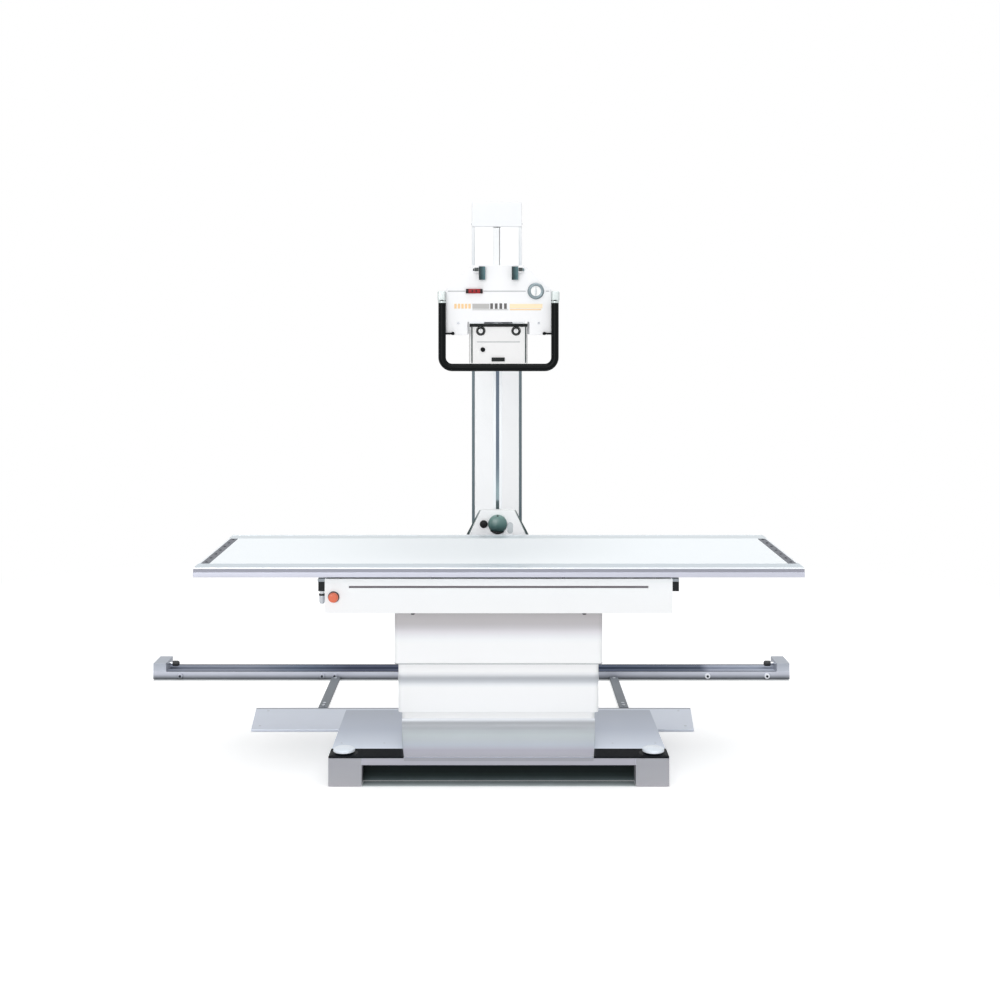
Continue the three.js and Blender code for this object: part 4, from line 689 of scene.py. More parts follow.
# Fulcrum arm and post
# A painted steel arm from the back of the frame and a waisted post on its end, the pivot of the layer
# that stays sharp, with the column's swinging rod behind it. A rubber guard wraps the post's slanted
# edges, and a buffer and a pale grey oval sit on its front. The slanted faces and the guard are painted
# dark towards the foot and pale towards the head: painted shade.
bracket_paint = surface("bracket_paint", (252, 253, 254), 0.36, grain=420, mottle=0.02)
eased("fulcrum_arm", 0.003, bracket_paint)
post_low, post_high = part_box("fulcrum_post")
post_middle = (post_low.x + post_high.x) / 2
post = eased("fulcrum_post", 0.004, bracket_paint, steps=3)
# The post's slanted faces are painted dark at the foot and pale at the head: painted shade.
slant_painted_shade = surface(
    "post_edge_painted_shade",
    ("Z", tones(post_low.z, (0.06, (84, 98, 98)), (0.15, (110, 124, 124)), (0.2, (196, 200, 200)))
     + [(post_high.z, (214, 217, 217))]),
    0.45, grain=420, mottle=0.1)
post.data.materials.append(slant_painted_shade)
for face in post.data.polygons:
    slanted = 0.2 < abs(face.normal.y) < 0.95
    face.material_index = 1 if slanted else 0
guard_foot, guard_head = post_high.z - 0.108, post_high.z - 0.003
guard_foot_half, guard_head_half = 0.1325, 0.077
# The guard's dark foot and pale head are painted shade, as on the slanted faces it wraps.
guard_painted_shade = surface(
    "edge_guard_painted_shade",
    ("Z", tones(post_high.z, (-0.108, (50, 66, 66)), (-0.05, (78, 94, 94)), (-0.012, (132, 144, 144)),
                (0, (196, 202, 202)))),
    0.5, grain=500, mottle=0.12, shine=0.2)
drawn("post_edge_guard",
      [(post_middle - guard_foot_half, guard_foot), (post_middle + guard_foot_half, guard_foot),
       (post_middle + guard_head_half, guard_head), (post_middle - guard_head_half, guard_head)],
      "y", (post_high.y - 0.010, post_high.y - 0.002), guard_painted_shade, "table_frame",
      edge=0.002)
buffer_black = surface("buffer_black", (12, 13, 15), 0.5, grain=700, mottle=0.2, shine=0.2)
nose = [(0, 0), (0.0155, 0), (0.0165, 0.002), (0.0165, 0.012), (0.0145, 0.0155), (0.006, 0.017),
        (0, 0.017)]
buffer_line, buffer_height = post_middle - 0.059, post_low.z + 0.188
turned("fulcrum_buffer", nose, (buffer_line, post_low.y, buffer_height), to_front, buffer_black,
       "table_frame", sides=40)
# A pale grey oval plate on the post's front.
oval_grey = surface("post_oval_grey", (196, 202, 205), 0.4, metallic=0.3, mottle=0.06)
oval_line, oval_height, oval_reach = post_middle + 0.0535, post_low.z + 0.171, 0.012
window = [(oval_line + oval_reach * math.cos(bend),
           oval_height + oval_reach * (math.sin(bend) + (1 if bend < math.pi else -1)))
          for bend in swept(5.625, 354.375, 31)]
drawn("post_grey_oval", window, "y", (post_low.y - 0.0014, post_low.y - hair), oval_grey,
      "table_frame", edge=0.0005)
to_back = (0, 1, 0)
for name, face, facing in (("fulcrum_post_screws", post_low.y, to_front),
                           ("fulcrum_arm_screws", post_high.y, to_back)):
    screws(name, [(post_middle + x, face, post_low.z + z) for x in (-0.045, 0.045)
                  for z in (0.014, 0.04)], facing, 0.006, "table_frame")


# Fulcrum knob
# A domed dark green moulding, turned to set the height of the layer. Its green is painted darker
# towards the foot and lighter at the crown, as painted shade and highlight; a black crescent let into
# its foot is painted shade too, and a black index sits in its crown.
fulcrum_low, fulcrum_high, fulcrum_middle = measured("fulcrum_knob")
reach, depth = (fulcrum_high.x - fulcrum_low.x) / 2, fulcrum_high.y - fulcrum_low.y
# The knob's green runs from near black at its foot to pale at its crown: painted shade and highlight.
knob_teal_painted_shade = surface(
    "knob_teal_painted_shade",
    ("Z", tones(fulcrum_low.z, (0, (22, 34, 35)), (0.020, (36, 68, 67)), (0.036, (70, 106, 103)))
     + [(fulcrum_high.z, (116, 150, 145))]),
    0.34, grain=500, mottle=0.08, coat=0.2)
domed = [(0, 0), (reach * 0.96, 0), (reach, 0.002), (reach, depth * 0.4)]
domed += [(reach * math.cos(bend), depth * (0.4 + 0.6 * math.sin(bend)))
          for bend in swept(0, 90, 10)[1:-1]]
domed.append((0, depth))
knob = turned("fulcrum_knob_made", domed, (fulcrum_middle.x, fulcrum_high.y, fulcrum_middle.z),
              to_front, knob_teal_painted_shade, "fulcrum_knob", sides=96)
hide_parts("fulcrum_knob")
knob_black_marks = surface("knob_marks_black", (16, 18, 19), 0.45, grain=500, mottle=0.15, shine=0.25)
# A black crescent at the knob's foot paints the shade under the dome.
crescent_reach = reach + 0.0008
thumb = [(fulcrum_middle.x + crescent_reach * math.cos(angle),
          fulcrum_middle.z + crescent_reach * math.sin(angle)) for angle in swept(-140, -50, 16)]
drawn("fulcrum_foot_shade", thumb, "y", (fulcrum_high.y - depth * 0.93, fulcrum_high.y - 0.003),
      knob_black_marks, "fulcrum_knob", edge=0.001)
index_half = 0.004
plates("fulcrum_index",
       [((fulcrum_middle.x - index_half, fulcrum_high.y - 0.018, fulcrum_high.z - 0.0065),
         (fulcrum_middle.x + index_half, fulcrum_high.y - 0.006, fulcrum_high.z - 0.0018))],
       0.001, knob_black_marks, "fulcrum_knob")


# Floor plate and tie bars
# A pale steel plate bolted to the floor behind the base, and two flat painted bars that tie the rail to
# it so that table and column keep their distance.
plate_low, plate_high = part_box("floor_plate")
plate_metal = surface(
    "floor_plate_metal",
    ("Y", tones(plate_high.y, (-0.33, (206, 212, 224)), (-0.024, (200, 206, 217)),
                (-0.016, (150, 156, 166)), (0, (116, 122, 132)))),
    0.42, metallic=0.5, grain=(12, 300, 300), mottle=0.05)
tie_enamel = surface("tie_enamel", (104, 110, 117), 0.45, grain=400, mottle=0.06, shine=0.3)
eased("floor_plate", 0.002, plate_metal)
screws("floor_plate_bolts",
       [(x, y, plate_high.z - 0.0022)
        for x in (plate_low.x + 0.06, plate_low.x + 0.5, plate_high.x - 0.5, plate_high.x - 0.06)
        for y in (plate_high.y - 0.28, plate_high.y - 0.05)],
       up, 0.006, "base")
for side, _ in both_sides:
    low, high, middle = measured(f"{side}_tie_bar")
    eased(f"{side}_tie_bar", 0.0015, tie_enamel)
    screws(f"{side}_tie_bolts",
           [(middle.x, y, high.z) for y in (low.y + 0.03, low.y + 0.065, high.y - 0.03)],
           up, 0.008, "base")


# Floor rail
# A drawn aluminium rail screwed to the floor, with a ground running groove along its top and a block
# across each end. Levelling screws stand along its front edge. Its face, track and groove edges carry
# painted shade, reflection and shadow, and a feathered grey strip on the floor in front paints its
# shadow.
rail_low, rail_high, rail_middle = measured("floor_rail")
lengthwise_fine = (6, 500, 500)
# The rail's face is painted darker towards the floor as shade, and lighter just below its top edge as a
# painted highlight.
rail_metal_painted_shade = surface(
    "rail_metal_painted_shade",
    ("Z", [(0.001, (88, 92, 98)), (0.006, (112, 116, 123)), (0.012, (146, 150, 159)),
           (0.018, (172, 176, 187)), (0.024, (188, 191, 203)), (0.034, (192, 195, 206)),
           (0.040, (182, 187, 198)), (rail_high.z, (164, 170, 180))]),
    0.4, metallic=0.3, grain=lengthwise_fine, mottle=0.06, shine=0.3)
# The track darkens in its middle stretch and lightens at the ends: a painted reflection along the top.
track_reflection_tones = [(rail_low.x, (132, 138, 152)), (-1.05, (140, 146, 160)), (-0.82, (110, 121, 139)),
               (-0.58, (78, 84, 103)), (0.60, (80, 89, 109)), (1.09, (98, 106, 122)),
               (1.13, (160, 166, 182)), (rail_high.x, (176, 183, 197))]
track_painted_reflection = surface("track_painted_reflection", ("X", track_reflection_tones), 0.6, grain=lengthwise_fine, mottle=0.06,
                      shine=0.03)
track_top, shadow_line_depth = 0.036, 0.62
rail = eased("floor_rail", 0.0012, rail_metal_painted_shade)
rail.data.materials.append(track_painted_reflection)
for face in rail.data.polygons:
    groove_floor = face.normal.z > 0.9 and face.center.z < track_top
    groove_wall = face.normal.y < -0.5 and face.center.y > rail_middle.y
    face.material_index = 1 if groove_floor or groove_wall else 0
# Thin dark lines along both edges of the groove are painted shadow, in darkened copies of the track's
# tones.
groove_edge_painted_shadow = surface(
    "groove_edge_painted_shadow",
    ("X", [(place, [shadow_line_depth * part for part in shade]) for place, shade in track_reflection_tones]),
    0.6, grain=lengthwise_fine, mottle=0.06, shine=0.03)
block_length, line_width, line_foot, line_head = 0.062, 0.016, 0.0345, 0.0352
plates("rail_groove_shadow_lines",
       [((rail_low.x + block_length, y, line_foot),
         (rail_high.x - block_length, y + line_width, line_head))
        for y in (rail_low.y + 0.003, rail_high.y - 0.019)],
       0.0002, groove_edge_painted_shadow, "base", steps=1)
# A feathered grey strip on the floor in front of the rail, darkest at the rail, is its painted shadow.
shadow_strip_width = 0.030
shadow_strip_grey = surface(
    "rail_floor_painted_shadow",
    ("Y", tones(rail_low.y, (-shadow_strip_width, (226, 228, 229)), (-0.018, (168, 171, 173)),
                (0, (112, 116, 119)))),
    0.8, grain=200, mottle=0.12, relief=0.1, shine=0.1)
shadow_strip_ends = [rail_low.x + 0.006]
for side, _ in both_sides:
    low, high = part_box(f"{side}_tie_bar")
    shadow_strip_ends += [low.x - 0.0005, high.x + 0.0005]
shadow_strip_ends.append(rail_high.x - 0.006)
plates("rail_floor_shadow_strip",
       [((start, rail_low.y - shadow_strip_width, hair), (end, rail_low.y - glue, 0.0012))
        for start, end in zip(shadow_strip_ends[::2], shadow_strip_ends[1::2])],
       0.0004, shadow_strip_grey, "base")
collar_white = surface("levelling_collar", (230, 233, 239), 0.3, metallic=0.5, mottle=0.04)
collar = [(0, 0), (0.0135, 0), (0.0135, 0.005), (0.0115, 0.008), (0, 0.008)]
collar_places, collar_height = (-1.373, -0.704, -0.645, 1.113, 1.393), 0.015
for number, place in enumerate(collar_places):
    turned(f"levelling_collar_{number}", collar, (place, rail_low.y - hair, collar_height), to_front,
           collar_white if place > 0 else rail_metal_painted_shade, "base", sides=24)
levelling_black = surface("levelling_screw_black", (44, 48, 56), 0.4, metallic=0.6, mottle=0.1)
screws("levelling_screws", [(place, rail_low.y - 0.008, collar_height) for place in collar_places],
       to_front, 0.0058, "base", levelling_black)


# Rail bumpers
# Black moulded rubber noses on chromed stems, screwed into the blocks at both ends of the rail, that
# stop the carriage softly.
bumper_rubber = surface("bumper_rubber", (32, 33, 35), 0.55, grain=800, mottle=0.2, relief=0.2)
for side, outward in both_sides:
    low, high, middle = measured(f"{side}_rail_bumper")
    reach, length = (high.z - low.z) / 2, high.x - low.x
    root, inward = (low.x if outward < 0 else high.x, middle.y, middle.z), (-outward, 0, 0)
    stem = length * 0.33
    turned(f"{side}_bumper_stem", [(0, 0), (reach * 0.55, 0), (reach * 0.55, stem), (0, stem)],
           root, inward, chrome, "base", sides=32)
    nose = [(0, stem), (reach * 0.85, stem), (reach, stem + 0.003), (reach, length * 0.82),
            (reach * 0.9, length * 0.93), (reach * 0.6, length), (0, length)]
    bumper = turned(f"{side}_rail_bumper_made", nose, root, inward, bumper_rubber, "base")
    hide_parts(f"{side}_rail_bumper")


# Rail carriage and brake knob
# A cast-iron shoe, painted grey, that rolls along the rail under the column, with felt wipers at its
# ends, and the fluted knob that brakes it.
def mirrored(middle, low, high):
    """A box on one side of a middle line, by its low and high corners, and its twin on the other."""
    return [(low, high), ((2 * middle - high[0], *low[1:]), (2 * middle - low[0], *high[1:]))]


carriage_paint = surface("carriage_paint", (226, 230, 234), 0.38, grain=400, relief=0.05)
eased("rail_carriage", 0.003, carriage_paint)
shoe_low, shoe_high, shoe_middle = measured("rail_carriage")
shoe_margin, low_row, high_row = 0.018, 0.052, shoe_high.z - 0.016
for side, y, facing in (("front", shoe_low.y, to_front), ("back", shoe_high.y, to_back)):
    screws(f"carriage_screws_{side}",
           [(x, y, z) for x in (shoe_low.x + shoe_margin, shoe_high.x - shoe_margin)
            for z in (low_row, high_row)], facing, 0.006, "column")
wiper_felt = surface("wiper_felt", (74, 76, 80), 0.9, grain=900, mottle=0.25, relief=0.3)
wiper_inset, wiper_foot, wiper_head = 0.022, 0.0362, 0.062
plates("carriage_wipers",
       mirrored(shoe_middle.x, (shoe_low.x - 0.003, shoe_low.y + wiper_inset, wiper_foot),
                (shoe_low.x - glue, shoe_high.y - wiper_inset, wiper_head)),
       0.0008, wiper_felt, "column")
brake_low, brake_high, brake_middle = measured("brake_knob")
reach, depth = (brake_high.x - brake_low.x) / 2, brake_high.y - brake_low.y
brake_black = surface("brake_knob_black", (36, 38, 41), 0.4, grain=600, mottle=0.12)
fluted = [(0, 0), (reach * 0.55, 0), (reach * 0.55, 0.007), (reach, 0.009), (reach, depth - 0.004),
          (reach - 0.003, depth - 0.0008), (reach * 0.5, depth), (0, depth)]
knob = turned("brake_knob_made", fluted, (brake_middle.x, brake_high.y, brake_middle.z), to_front,
              brake_black, "brake_knob", lobes=12, lobe_depth=0.002, sides=96)
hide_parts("brake_knob")


# Column
# A drawn aluminium box with a slot down its front, enamelled white. Blue-grey inlays fill the rebates
# at its front corners and brush seals close the slot on both sides of the arm.
column_low, column_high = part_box("column")
column_middle, half = (column_low.x + column_high.x) / 2, (column_high.x - column_low.x) / 2
column_foot, column_top = column_low.z, column_high.z
front, back = column_low.y, column_high.y
column_wall, column_slot, inlay_width, inlay_depth = 0.008, 0.016, 0.014, 0.006
groove_front, groove_back, groove_depth = front + 0.07, front + 0.10, 0.003
right_side = [(column_slot, front), (half - inlay_width, front),
              (half - inlay_width, front + inlay_depth), (half, front + inlay_depth),
              (half, groove_front), (half - groove_depth, groove_front),
              (half - groove_depth, groove_back), (half, groove_back), (half, back)]
inner, inner_front, inner_back = half - column_wall, front + column_wall, back - column_wall
inside = [(-column_slot, inner_front), (-inner, inner_front), (-inner, inner_back),
          (inner, inner_back), (inner, inner_front), (column_slot, inner_front)]
section = right_side + [(-x, y) for x, y in reversed(right_side)] + inside
column_enamel = enamel("column_enamel", clean_white, 0.3)
column = drawn("column_made", [(column_middle + x, y) for x, y in section], "z",
               (column_foot, column_top), column_enamel, "column", edge=0.0012)
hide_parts("column")
inlay_teal = surface(
    "inlay_teal",
    ("Z", [(0.6, (78, 94, 100)), (1.35, (96, 112, 119)), (1.75, (120, 134, 142)),
           (1.95, (222, 227, 231)), (2.13, (238, 241, 243))]),
    0.42, grain=(500, 500, 20), mottle=0.08)
inlay_play = 0.0006
plates("column_inlays",
       mirrored(column_middle,
                (column_middle - half + inlay_play, front + inlay_play, column_foot + 0.001),
                (column_middle - half + inlay_width - inlay_play, front + inlay_depth - 0.0004,
                 column_top - 0.001)),
       0.001, inlay_teal, "column")
seal_brush = surface("seal_brush", (246, 248, 249), 0.7, grain=(900, 900, 60), mottle=0.05, relief=0.2)
plates("slot_brushes",
       [((column_middle + left, front + 0.0018, column_foot + 0.003),
         (column_middle + right, front + 0.0038, column_top - 0.003))
        for left, right in ((glue - column_slot, 0.0112), (0.0136, column_slot - glue))],
       0.0004, seal_brush, "column")
strip_line, strip_half = column_middle - half + 0.0018, 0.001
plates("side_groove_strips",
       mirrored(column_middle,
                (strip_line - strip_half, groove_front + inlay_play, column_foot + 0.002),
                (strip_line + strip_half, groove_back - inlay_play, column_top - 0.002)),
       0.0004, inlay_teal, "column")
cover_half, row_half, row_pitch = half - 0.012, half - 0.022, 0.237
plates("column_back_cover", [((column_middle - cover_half, back + hair, column_foot + 0.02),
                              (column_middle + cover_half, back + 0.0018, column_top - 0.02))],
       0.0008, column_enamel, "column")
screws("back_cover_screws",
       [(column_middle + x, back + 0.0017, column_foot + 0.05 + row * row_pitch)
        for row in range(9) for x in (-row_half, row_half)],
       to_back, 0.005, "column")


# Column cap
# A pressed sheet cover, enamelled white, that closes the column's top over the pulley. Two screws on
# each side hold it on.
# The cap's white is set greyer than the table's: painted shade against the stronger light at the
# column's top.
cap_enamel = enamel("cap_enamel", (240, 242, 244))
eased("column_cap", 0.004, cap_enamel)
for side, outward in both_sides:
    screws(f"cap_screws_{side}",
           [(column_middle + outward * half, y, column_top + 0.016)
            for y in (front + 0.03, back - 0.03)],
           (outward, 0, 0), 0.005, "column")


# Pulley, cables and counterweight
# A turned pulley under the cap carries a steel cable of six laid strands from the arm's carriage to an
# iron weight that balances it inside the column. The runs either side of it lengthen and shorten.
def led(name, route, across, reach, sides, material, body, lay=0.0, lobes=0, lobe_depth=0.0):
    """A round bar or rope led along a route; lay turns its strands from each point to the next."""
    work = bmesh.new()
    rings = []
    for i, here in enumerate(route):
        ahead = (route[min(i + 1, len(route) - 1)] - route[max(i - 1, 0)]).normalized()
        squared = Matrix((across, ahead.cross(across), ahead)).transposed().to_4x4()
        turn = Matrix.Translation(here) @ squared @ Matrix.Rotation(lay * i, 4, "Z")
        rings.append(ring_of(work, reach, 0, turn, sides, lobes, lobe_depth))
    work.faces.new(rings[0])
    work.faces.new(rings[-1][::-1])
    skin(work, rings)
    return fit(name, work, material, body)


pulley_steel = surface("pulley_steel", (160, 164, 170), 0.3, metallic=1.0, grain=(40, 700, 700),
                       mottle=0.08)
cable_steel = surface("cable_steel", (126, 130, 136), 0.36, metallic=1.0, grain=(300, 300, 900),
                      mottle=0.25, relief=0.5)
weight_iron = surface("weight_iron", (92, 95, 99), 0.6, metallic=0.5, grain=160, mottle=0.15,
                      relief=0.2)
dress("pulley", pulley_steel)
dress("counterweight", weight_iron)
front_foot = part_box("front_cable")[0].z
rear_low, rear_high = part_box("rear_cable")
_, _, pulley_middle = measured("pulley")
cable_reach, strand_lay, front_steps, rear_steps = 0.0025, 0.6, 25, 66
wrap_reach = rear_high.y - cable_reach - pulley_middle.y
rise, drop = pulley_middle.z - front_foot, rear_high.z - rear_low.z
wrapped = [Vector((pulley_middle.x, pulley_middle.y - wrap_reach, front_foot + rise * i / front_steps))
           for i in range(front_steps)]
wrapped += [pulley_middle + wrap_reach * Vector((0, -math.cos(turn), math.sin(turn)))
            for turn in swept(0, 180, 20)]
hanging = [Vector((pulley_middle.x, pulley_middle.y + wrap_reach, rear_high.z - drop * i / rear_steps))
           for i in range(rear_steps + 1)]
for node, route, held in (("front_cable", wrapped, "arm_carriage"),
                          ("rear_cable", hanging, "counterweight")):
    run = led(f"{node}_made", route, Vector((1, 0, 0)), cable_reach, 12, cable_steel, None,
              strand_lay, lobes=6, lobe_depth=0.0006)
    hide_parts(node)
    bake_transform(run)


# Arm carriage
# A painted iron plate that rides up and down the column's slot on rollers. Its boss holds the arm, and
# a black ring seals the boss.
carriage_white = surface("arm_carriage_paint", (240, 243, 246), 0.36, grain=400, mottle=0.02)
eased("arm_carriage", 0.003, carriage_white)
arm_axis, plate_face, boss_length = 1.778, front - 0.0603, 0.0601
screws("arm_carriage_screws",
       [(column_middle + x, plate_face, arm_axis + z)
        for x in (-0.108, 0.108) for z in (-0.128, 0, 0.128)],
       to_front, 0.008, "arm_carriage")
boss_black = surface("boss_ring_black", (40, 43, 46), 0.45, mottle=0.1)
turned("boss_seal_ring", [(0.0462, 0), (0.068, 0), (0.068, 0.003), (0.064, 0.005), (0.0462, 0.005)],
       (column_middle, plate_face - boss_length, arm_axis), to_front, boss_black, "arm_carriage")


# Arm tube
# The steel tube that carries the head out over the table and turns in the carriage's boss. One flange
# is bolted to the yoke, one bears on the back of the head, and a black ring clamps it from behind.
arm_steel = surface("arm_steel", (200, 204, 209), 0.24, metallic=0.9, grain=(500, 9, 500), mottle=0.05)
arm_low, arm_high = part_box("arm_tube")
bore, tube_reach, flange, arm_length = 0.037, 0.045, 0.062, arm_high.y - arm_low.y
flanged = [(bore, 0), (flange, 0), (flange, 0.006), (tube_reach, 0.006), (tube_reach, 0.0251),
           (flange, 0.0251), (flange, 0.0311), (tube_reach, 0.0311), (tube_reach, arm_length - 0.001),
           (0.044, arm_length), (bore, arm_length)]
arm = turned("arm_tube_made", flanged, (column_middle, arm_low.y, arm_axis), to_back, arm_steel,
             "tube_head", sides=72)
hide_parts("arm_tube")
clamp_ring = [(0.0453, 0), (0.053, 0), (0.054, 0.001), (0.054, 0.021), (0.053, 0.022), (0.0453, 0.022)]
turned("arm_clamp_ring", clamp_ring, (column_middle, arm_low.y + 0.055, arm_axis), to_back, boss_black,
       "tube_head", sides=72)


# Tomography rod
# A flat drawn bar clamped round the arm by a collar. It hangs down to the fulcrum post and swings the
# head as the column travels; a dark strip on its front, in graded greys, is painted shade.
rod_low, rod_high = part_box("tomography_rod")
rod_metal = surface("rod_metal", (240, 243, 246), 0.34, metallic=0.15, grain=upright)
# The dark strip down the rod's front paints the shaded slot of the column behind it, darkest near the
# foot.
rod_painted_shade = surface(
    "rod_painted_shade",
    ("Z", [(0.90, (70, 85, 88)), (0.918, (78, 93, 96)), (0.930, (150, 169, 175)),
           (0.97, (150, 169, 175)), (1.06, (112, 126, 139)), (1.14, (98, 111, 127)),
           (1.5, (104, 117, 134))]),
    0.45, grain=(500, 500, 30), mottle=0.1, shine=0.3)
eased("tomography_rod", 0.001, rod_metal)
shade_strip_half = 0.007
plates("rod_shade_strip", [((column_middle - shade_strip_half, rod_low.y - 0.0008, rod_low.z + 0.01),
                           (column_middle + shade_strip_half, rod_low.y - hair, rod_high.z - 0.15))],
       0.0003, rod_painted_shade, "tube_head")
screws("rod_collar_screws",
       [(column_middle + x, rod_high.y, arm_axis + z) for x in (-0.058, 0.058) for z in (-0.05, 0.05)],
       to_back, 0.006, "tube_head")


# Tube housing and yoke
# The lead-lined aluminium cylinder that holds the X-ray tube, with two sockets at the back for its
# cables, each under a knurled ring nut, and the yoke that bolts it to the arm.
housing_metal = surface("housing_metal", (204, 208, 213), 0.34, metallic=0.8, grain=(12, 300, 300),
                        mottle=0.06)
dress("tube_housing", housing_metal)
dress("tube_yoke", housing_metal)
socket_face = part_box("tube_housing")[1].y
socket_black = surface("socket_black", (34, 36, 39), 0.5, mottle=0.12)
nut = [(0.0242, -0.024), (0.0285, -0.024), (0.0290, -0.022), (0.0290, -0.006), (0.0285, -0.004),
       (0.0242, -0.004)]
dish = [(0, 0.0001), (0.0190, 0.0001), (0.0195, 0.0012), (0.0160, 0.0016), (0.0150, 0.0006),
        (0, 0.0006)]
socket_spread, socket_drop = 0.130, 0.008
for side, sign in both_sides:
    mouth = (column_middle + sign * socket_spread, socket_face, arm_axis - socket_drop)
    turned(f"{side}_socket_nut", nut, mouth, to_back, housing_metal, "tube_head",
           lobes=36, lobe_depth=0.0009, sides=144)
    turned(f"{side}_socket_mouth", dish, mouth, to_back, socket_black, "tube_head")


# Head covers
# The white hood and lower cover of the tube head, moulded with soft edges and screwed together along a
# seam that the dial and brake bar straddle. A bare colour stripe runs across the lower cover.
# The head's white is set greyer than the table's: painted shade against the stronger light up here.
head_white = enamel("head_cover_white", (241, 242, 244), 0.3, grain=420, coat=0.15)
hood_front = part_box("upper_hood")[0].y
cover_low, cover_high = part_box("lower_cover")
eased("upper_hood", 0.002, head_white)
eased("lower_cover", 0.002, head_white)
head_middle, head_half = (cover_low.x + cover_high.x) / 2, (cover_high.x - cover_low.x) / 2
head_face, head_back, seam = cover_low.y, cover_high.y, cover_high.z


def laid(name, runs, colour):
    """Flat foil on the lower cover's front: (left, right, foot, head), across from its middle."""
    foil = surface(name, colour, 0.4, grain=500, mottle=0.05)
    boxes = [((head_middle + left, head_face - 0.0006, foot),
              (head_middle + right, head_face - hair, head)) for left, right, foot, head in runs]
    return plates(name, boxes, 0.0002, foil, "tube_head", steps=1)


gasket_foot, gasket_head = seam - 0.0016, seam + 0.0012
laid("seam_gasket", [(left, right, gasket_foot, gasket_head)
                     for left, right in ((-0.190, -0.126), (-0.056, 0.102), (0.178, 0.190))],
     (164, 167, 171))
laid("stripe_amber", [(-0.166 + i * 0.0132, -0.157 + i * 0.0132, 1.7345, 1.7525) for i in range(5)]
     + [(0.042, 0.160, 1.7285, 1.7325)], (244, 205, 150))
laid("stripe_straw", [(0.042, 0.165, 1.7350, 1.7520)], (252, 231, 194))
laid("stripe_grey", [(-0.098, -0.034, 1.7335, 1.7525), (-0.098, 0.037, 1.7285, 1.7310)],
     (184, 183, 182))
laid("stripe_dark", [(-0.031 + i * 0.0172, -0.0205 + i * 0.0172, 1.7330, 1.7540) for i in range(4)],
     (84, 82, 82))
front_screw_height, side_screw_height = 1.680, 1.690
screws("cover_front_screws",
       [(head_middle + x, head_face, front_screw_height) for x in (-0.151, 0.151)],
       to_front, 0.0042, "tube_head")
vent_dark = surface("vent_dark", (46, 48, 52), 0.7, mottle=0.15)
vent_half, vent_taper, vent_pitch, vent_foot, vent_rise = 0.075, 0.004, 0.0068, 1.8515, 0.0030
vents = []
for row in range(5):
    row_half, row_foot = vent_half - row * vent_taper, vent_foot + row * vent_pitch
    vents.append(((head_middle - row_half, head_back - 0.0006, row_foot),
                  (head_middle + row_half, head_back + 0.0004, row_foot + vent_rise)))
plates("hood_back_vents", vents, 0.0004, vent_dark, "tube_head")
screws("cover_back_screws",
       [(head_middle + x, head_back, z) for x, z in
        ((-0.180, 1.652), (-0.180, 1.786), (0.180, 1.652), (0.180, 1.786), (-0.175, 1.812),
         (0.175, 1.812))],
       to_back, 0.0045, "tube_head")
for side, outward in both_sides:
    screws(f"cover_side_screws_{side}",
           [(head_middle + outward * head_half, y, side_screw_height) for y in (-0.610, -0.410)],
           (outward, 0, 0), 0.0045, "tube_head")


# Angle dial and needle
# A round dial on the seam, a broad grey-green bezel round a white face, and a slim bright needle that
# hangs true as the head tilts.
dial_low, dial_high, dial_middle = measured("angle_dial")
reach, card_reach, card_rise = (dial_high.x - dial_low.x) / 2, 0.0190, 0.0058
bezel_teal = surface("bezel_teal", (138, 152, 158), 0.3, metallic=0.35, mottle=0.12)
dial_white = surface("dial_white", (247, 248, 248), 0.4, mottle=0.01)
ring = [(0, 0), (reach, 0), (reach, 0.0030), (reach - 0.0015, 0.0054), (reach - 0.005, 0.0074),
        (reach - 0.0075, 0.0079), (card_reach + 0.002, 0.0070), (card_reach, card_rise), (0, card_rise)]
bezel = turned("angle_dial_made", ring, (dial_middle.x, dial_high.y, dial_middle.z), to_front,
               bezel_teal, "tube_head")
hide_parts("angle_dial")
card = [(0, 0), (card_reach - 0.0002, 0), (card_reach - 0.0002, 0.0004), (0, 0.0004)]
turned("dial_card", card, (dial_middle.x, dial_high.y - card_rise - hair, dial_middle.z), to_front,
       dial_white, "tube_head")
tick_grey = surface("tick_grey", (150, 156, 160), 0.5, mottle=0.05)
tick_width, tick_stand, tick_reach, long_tick, short_tick = 0.0007, 0.0002, 0.0158, 0.0035, 0.002
marks = bmesh.new()
dial_face = Matrix.Translation((dial_middle.x, dial_high.y - 0.0064, dial_middle.z))
for i in range(-4, 5):
    lean = Matrix.Rotation(math.radians(i * 15), 4, "Y") @ Matrix.Translation((0, 0, tick_reach))
    tick = Matrix.Diagonal((tick_width, tick_stand, short_tick if i % 2 else long_tick, 1))
    bmesh.ops.create_cube(marks, size=1.0, matrix=dial_face @ lean @ tick)
fit("dial_marks", marks, tick_grey, "tube_head")
needle_steel = surface("needle_steel", (186, 191, 194), 0.3, metallic=0.6, mottle=0.06)
eased("dial_needle", 0.0006, needle_steel)


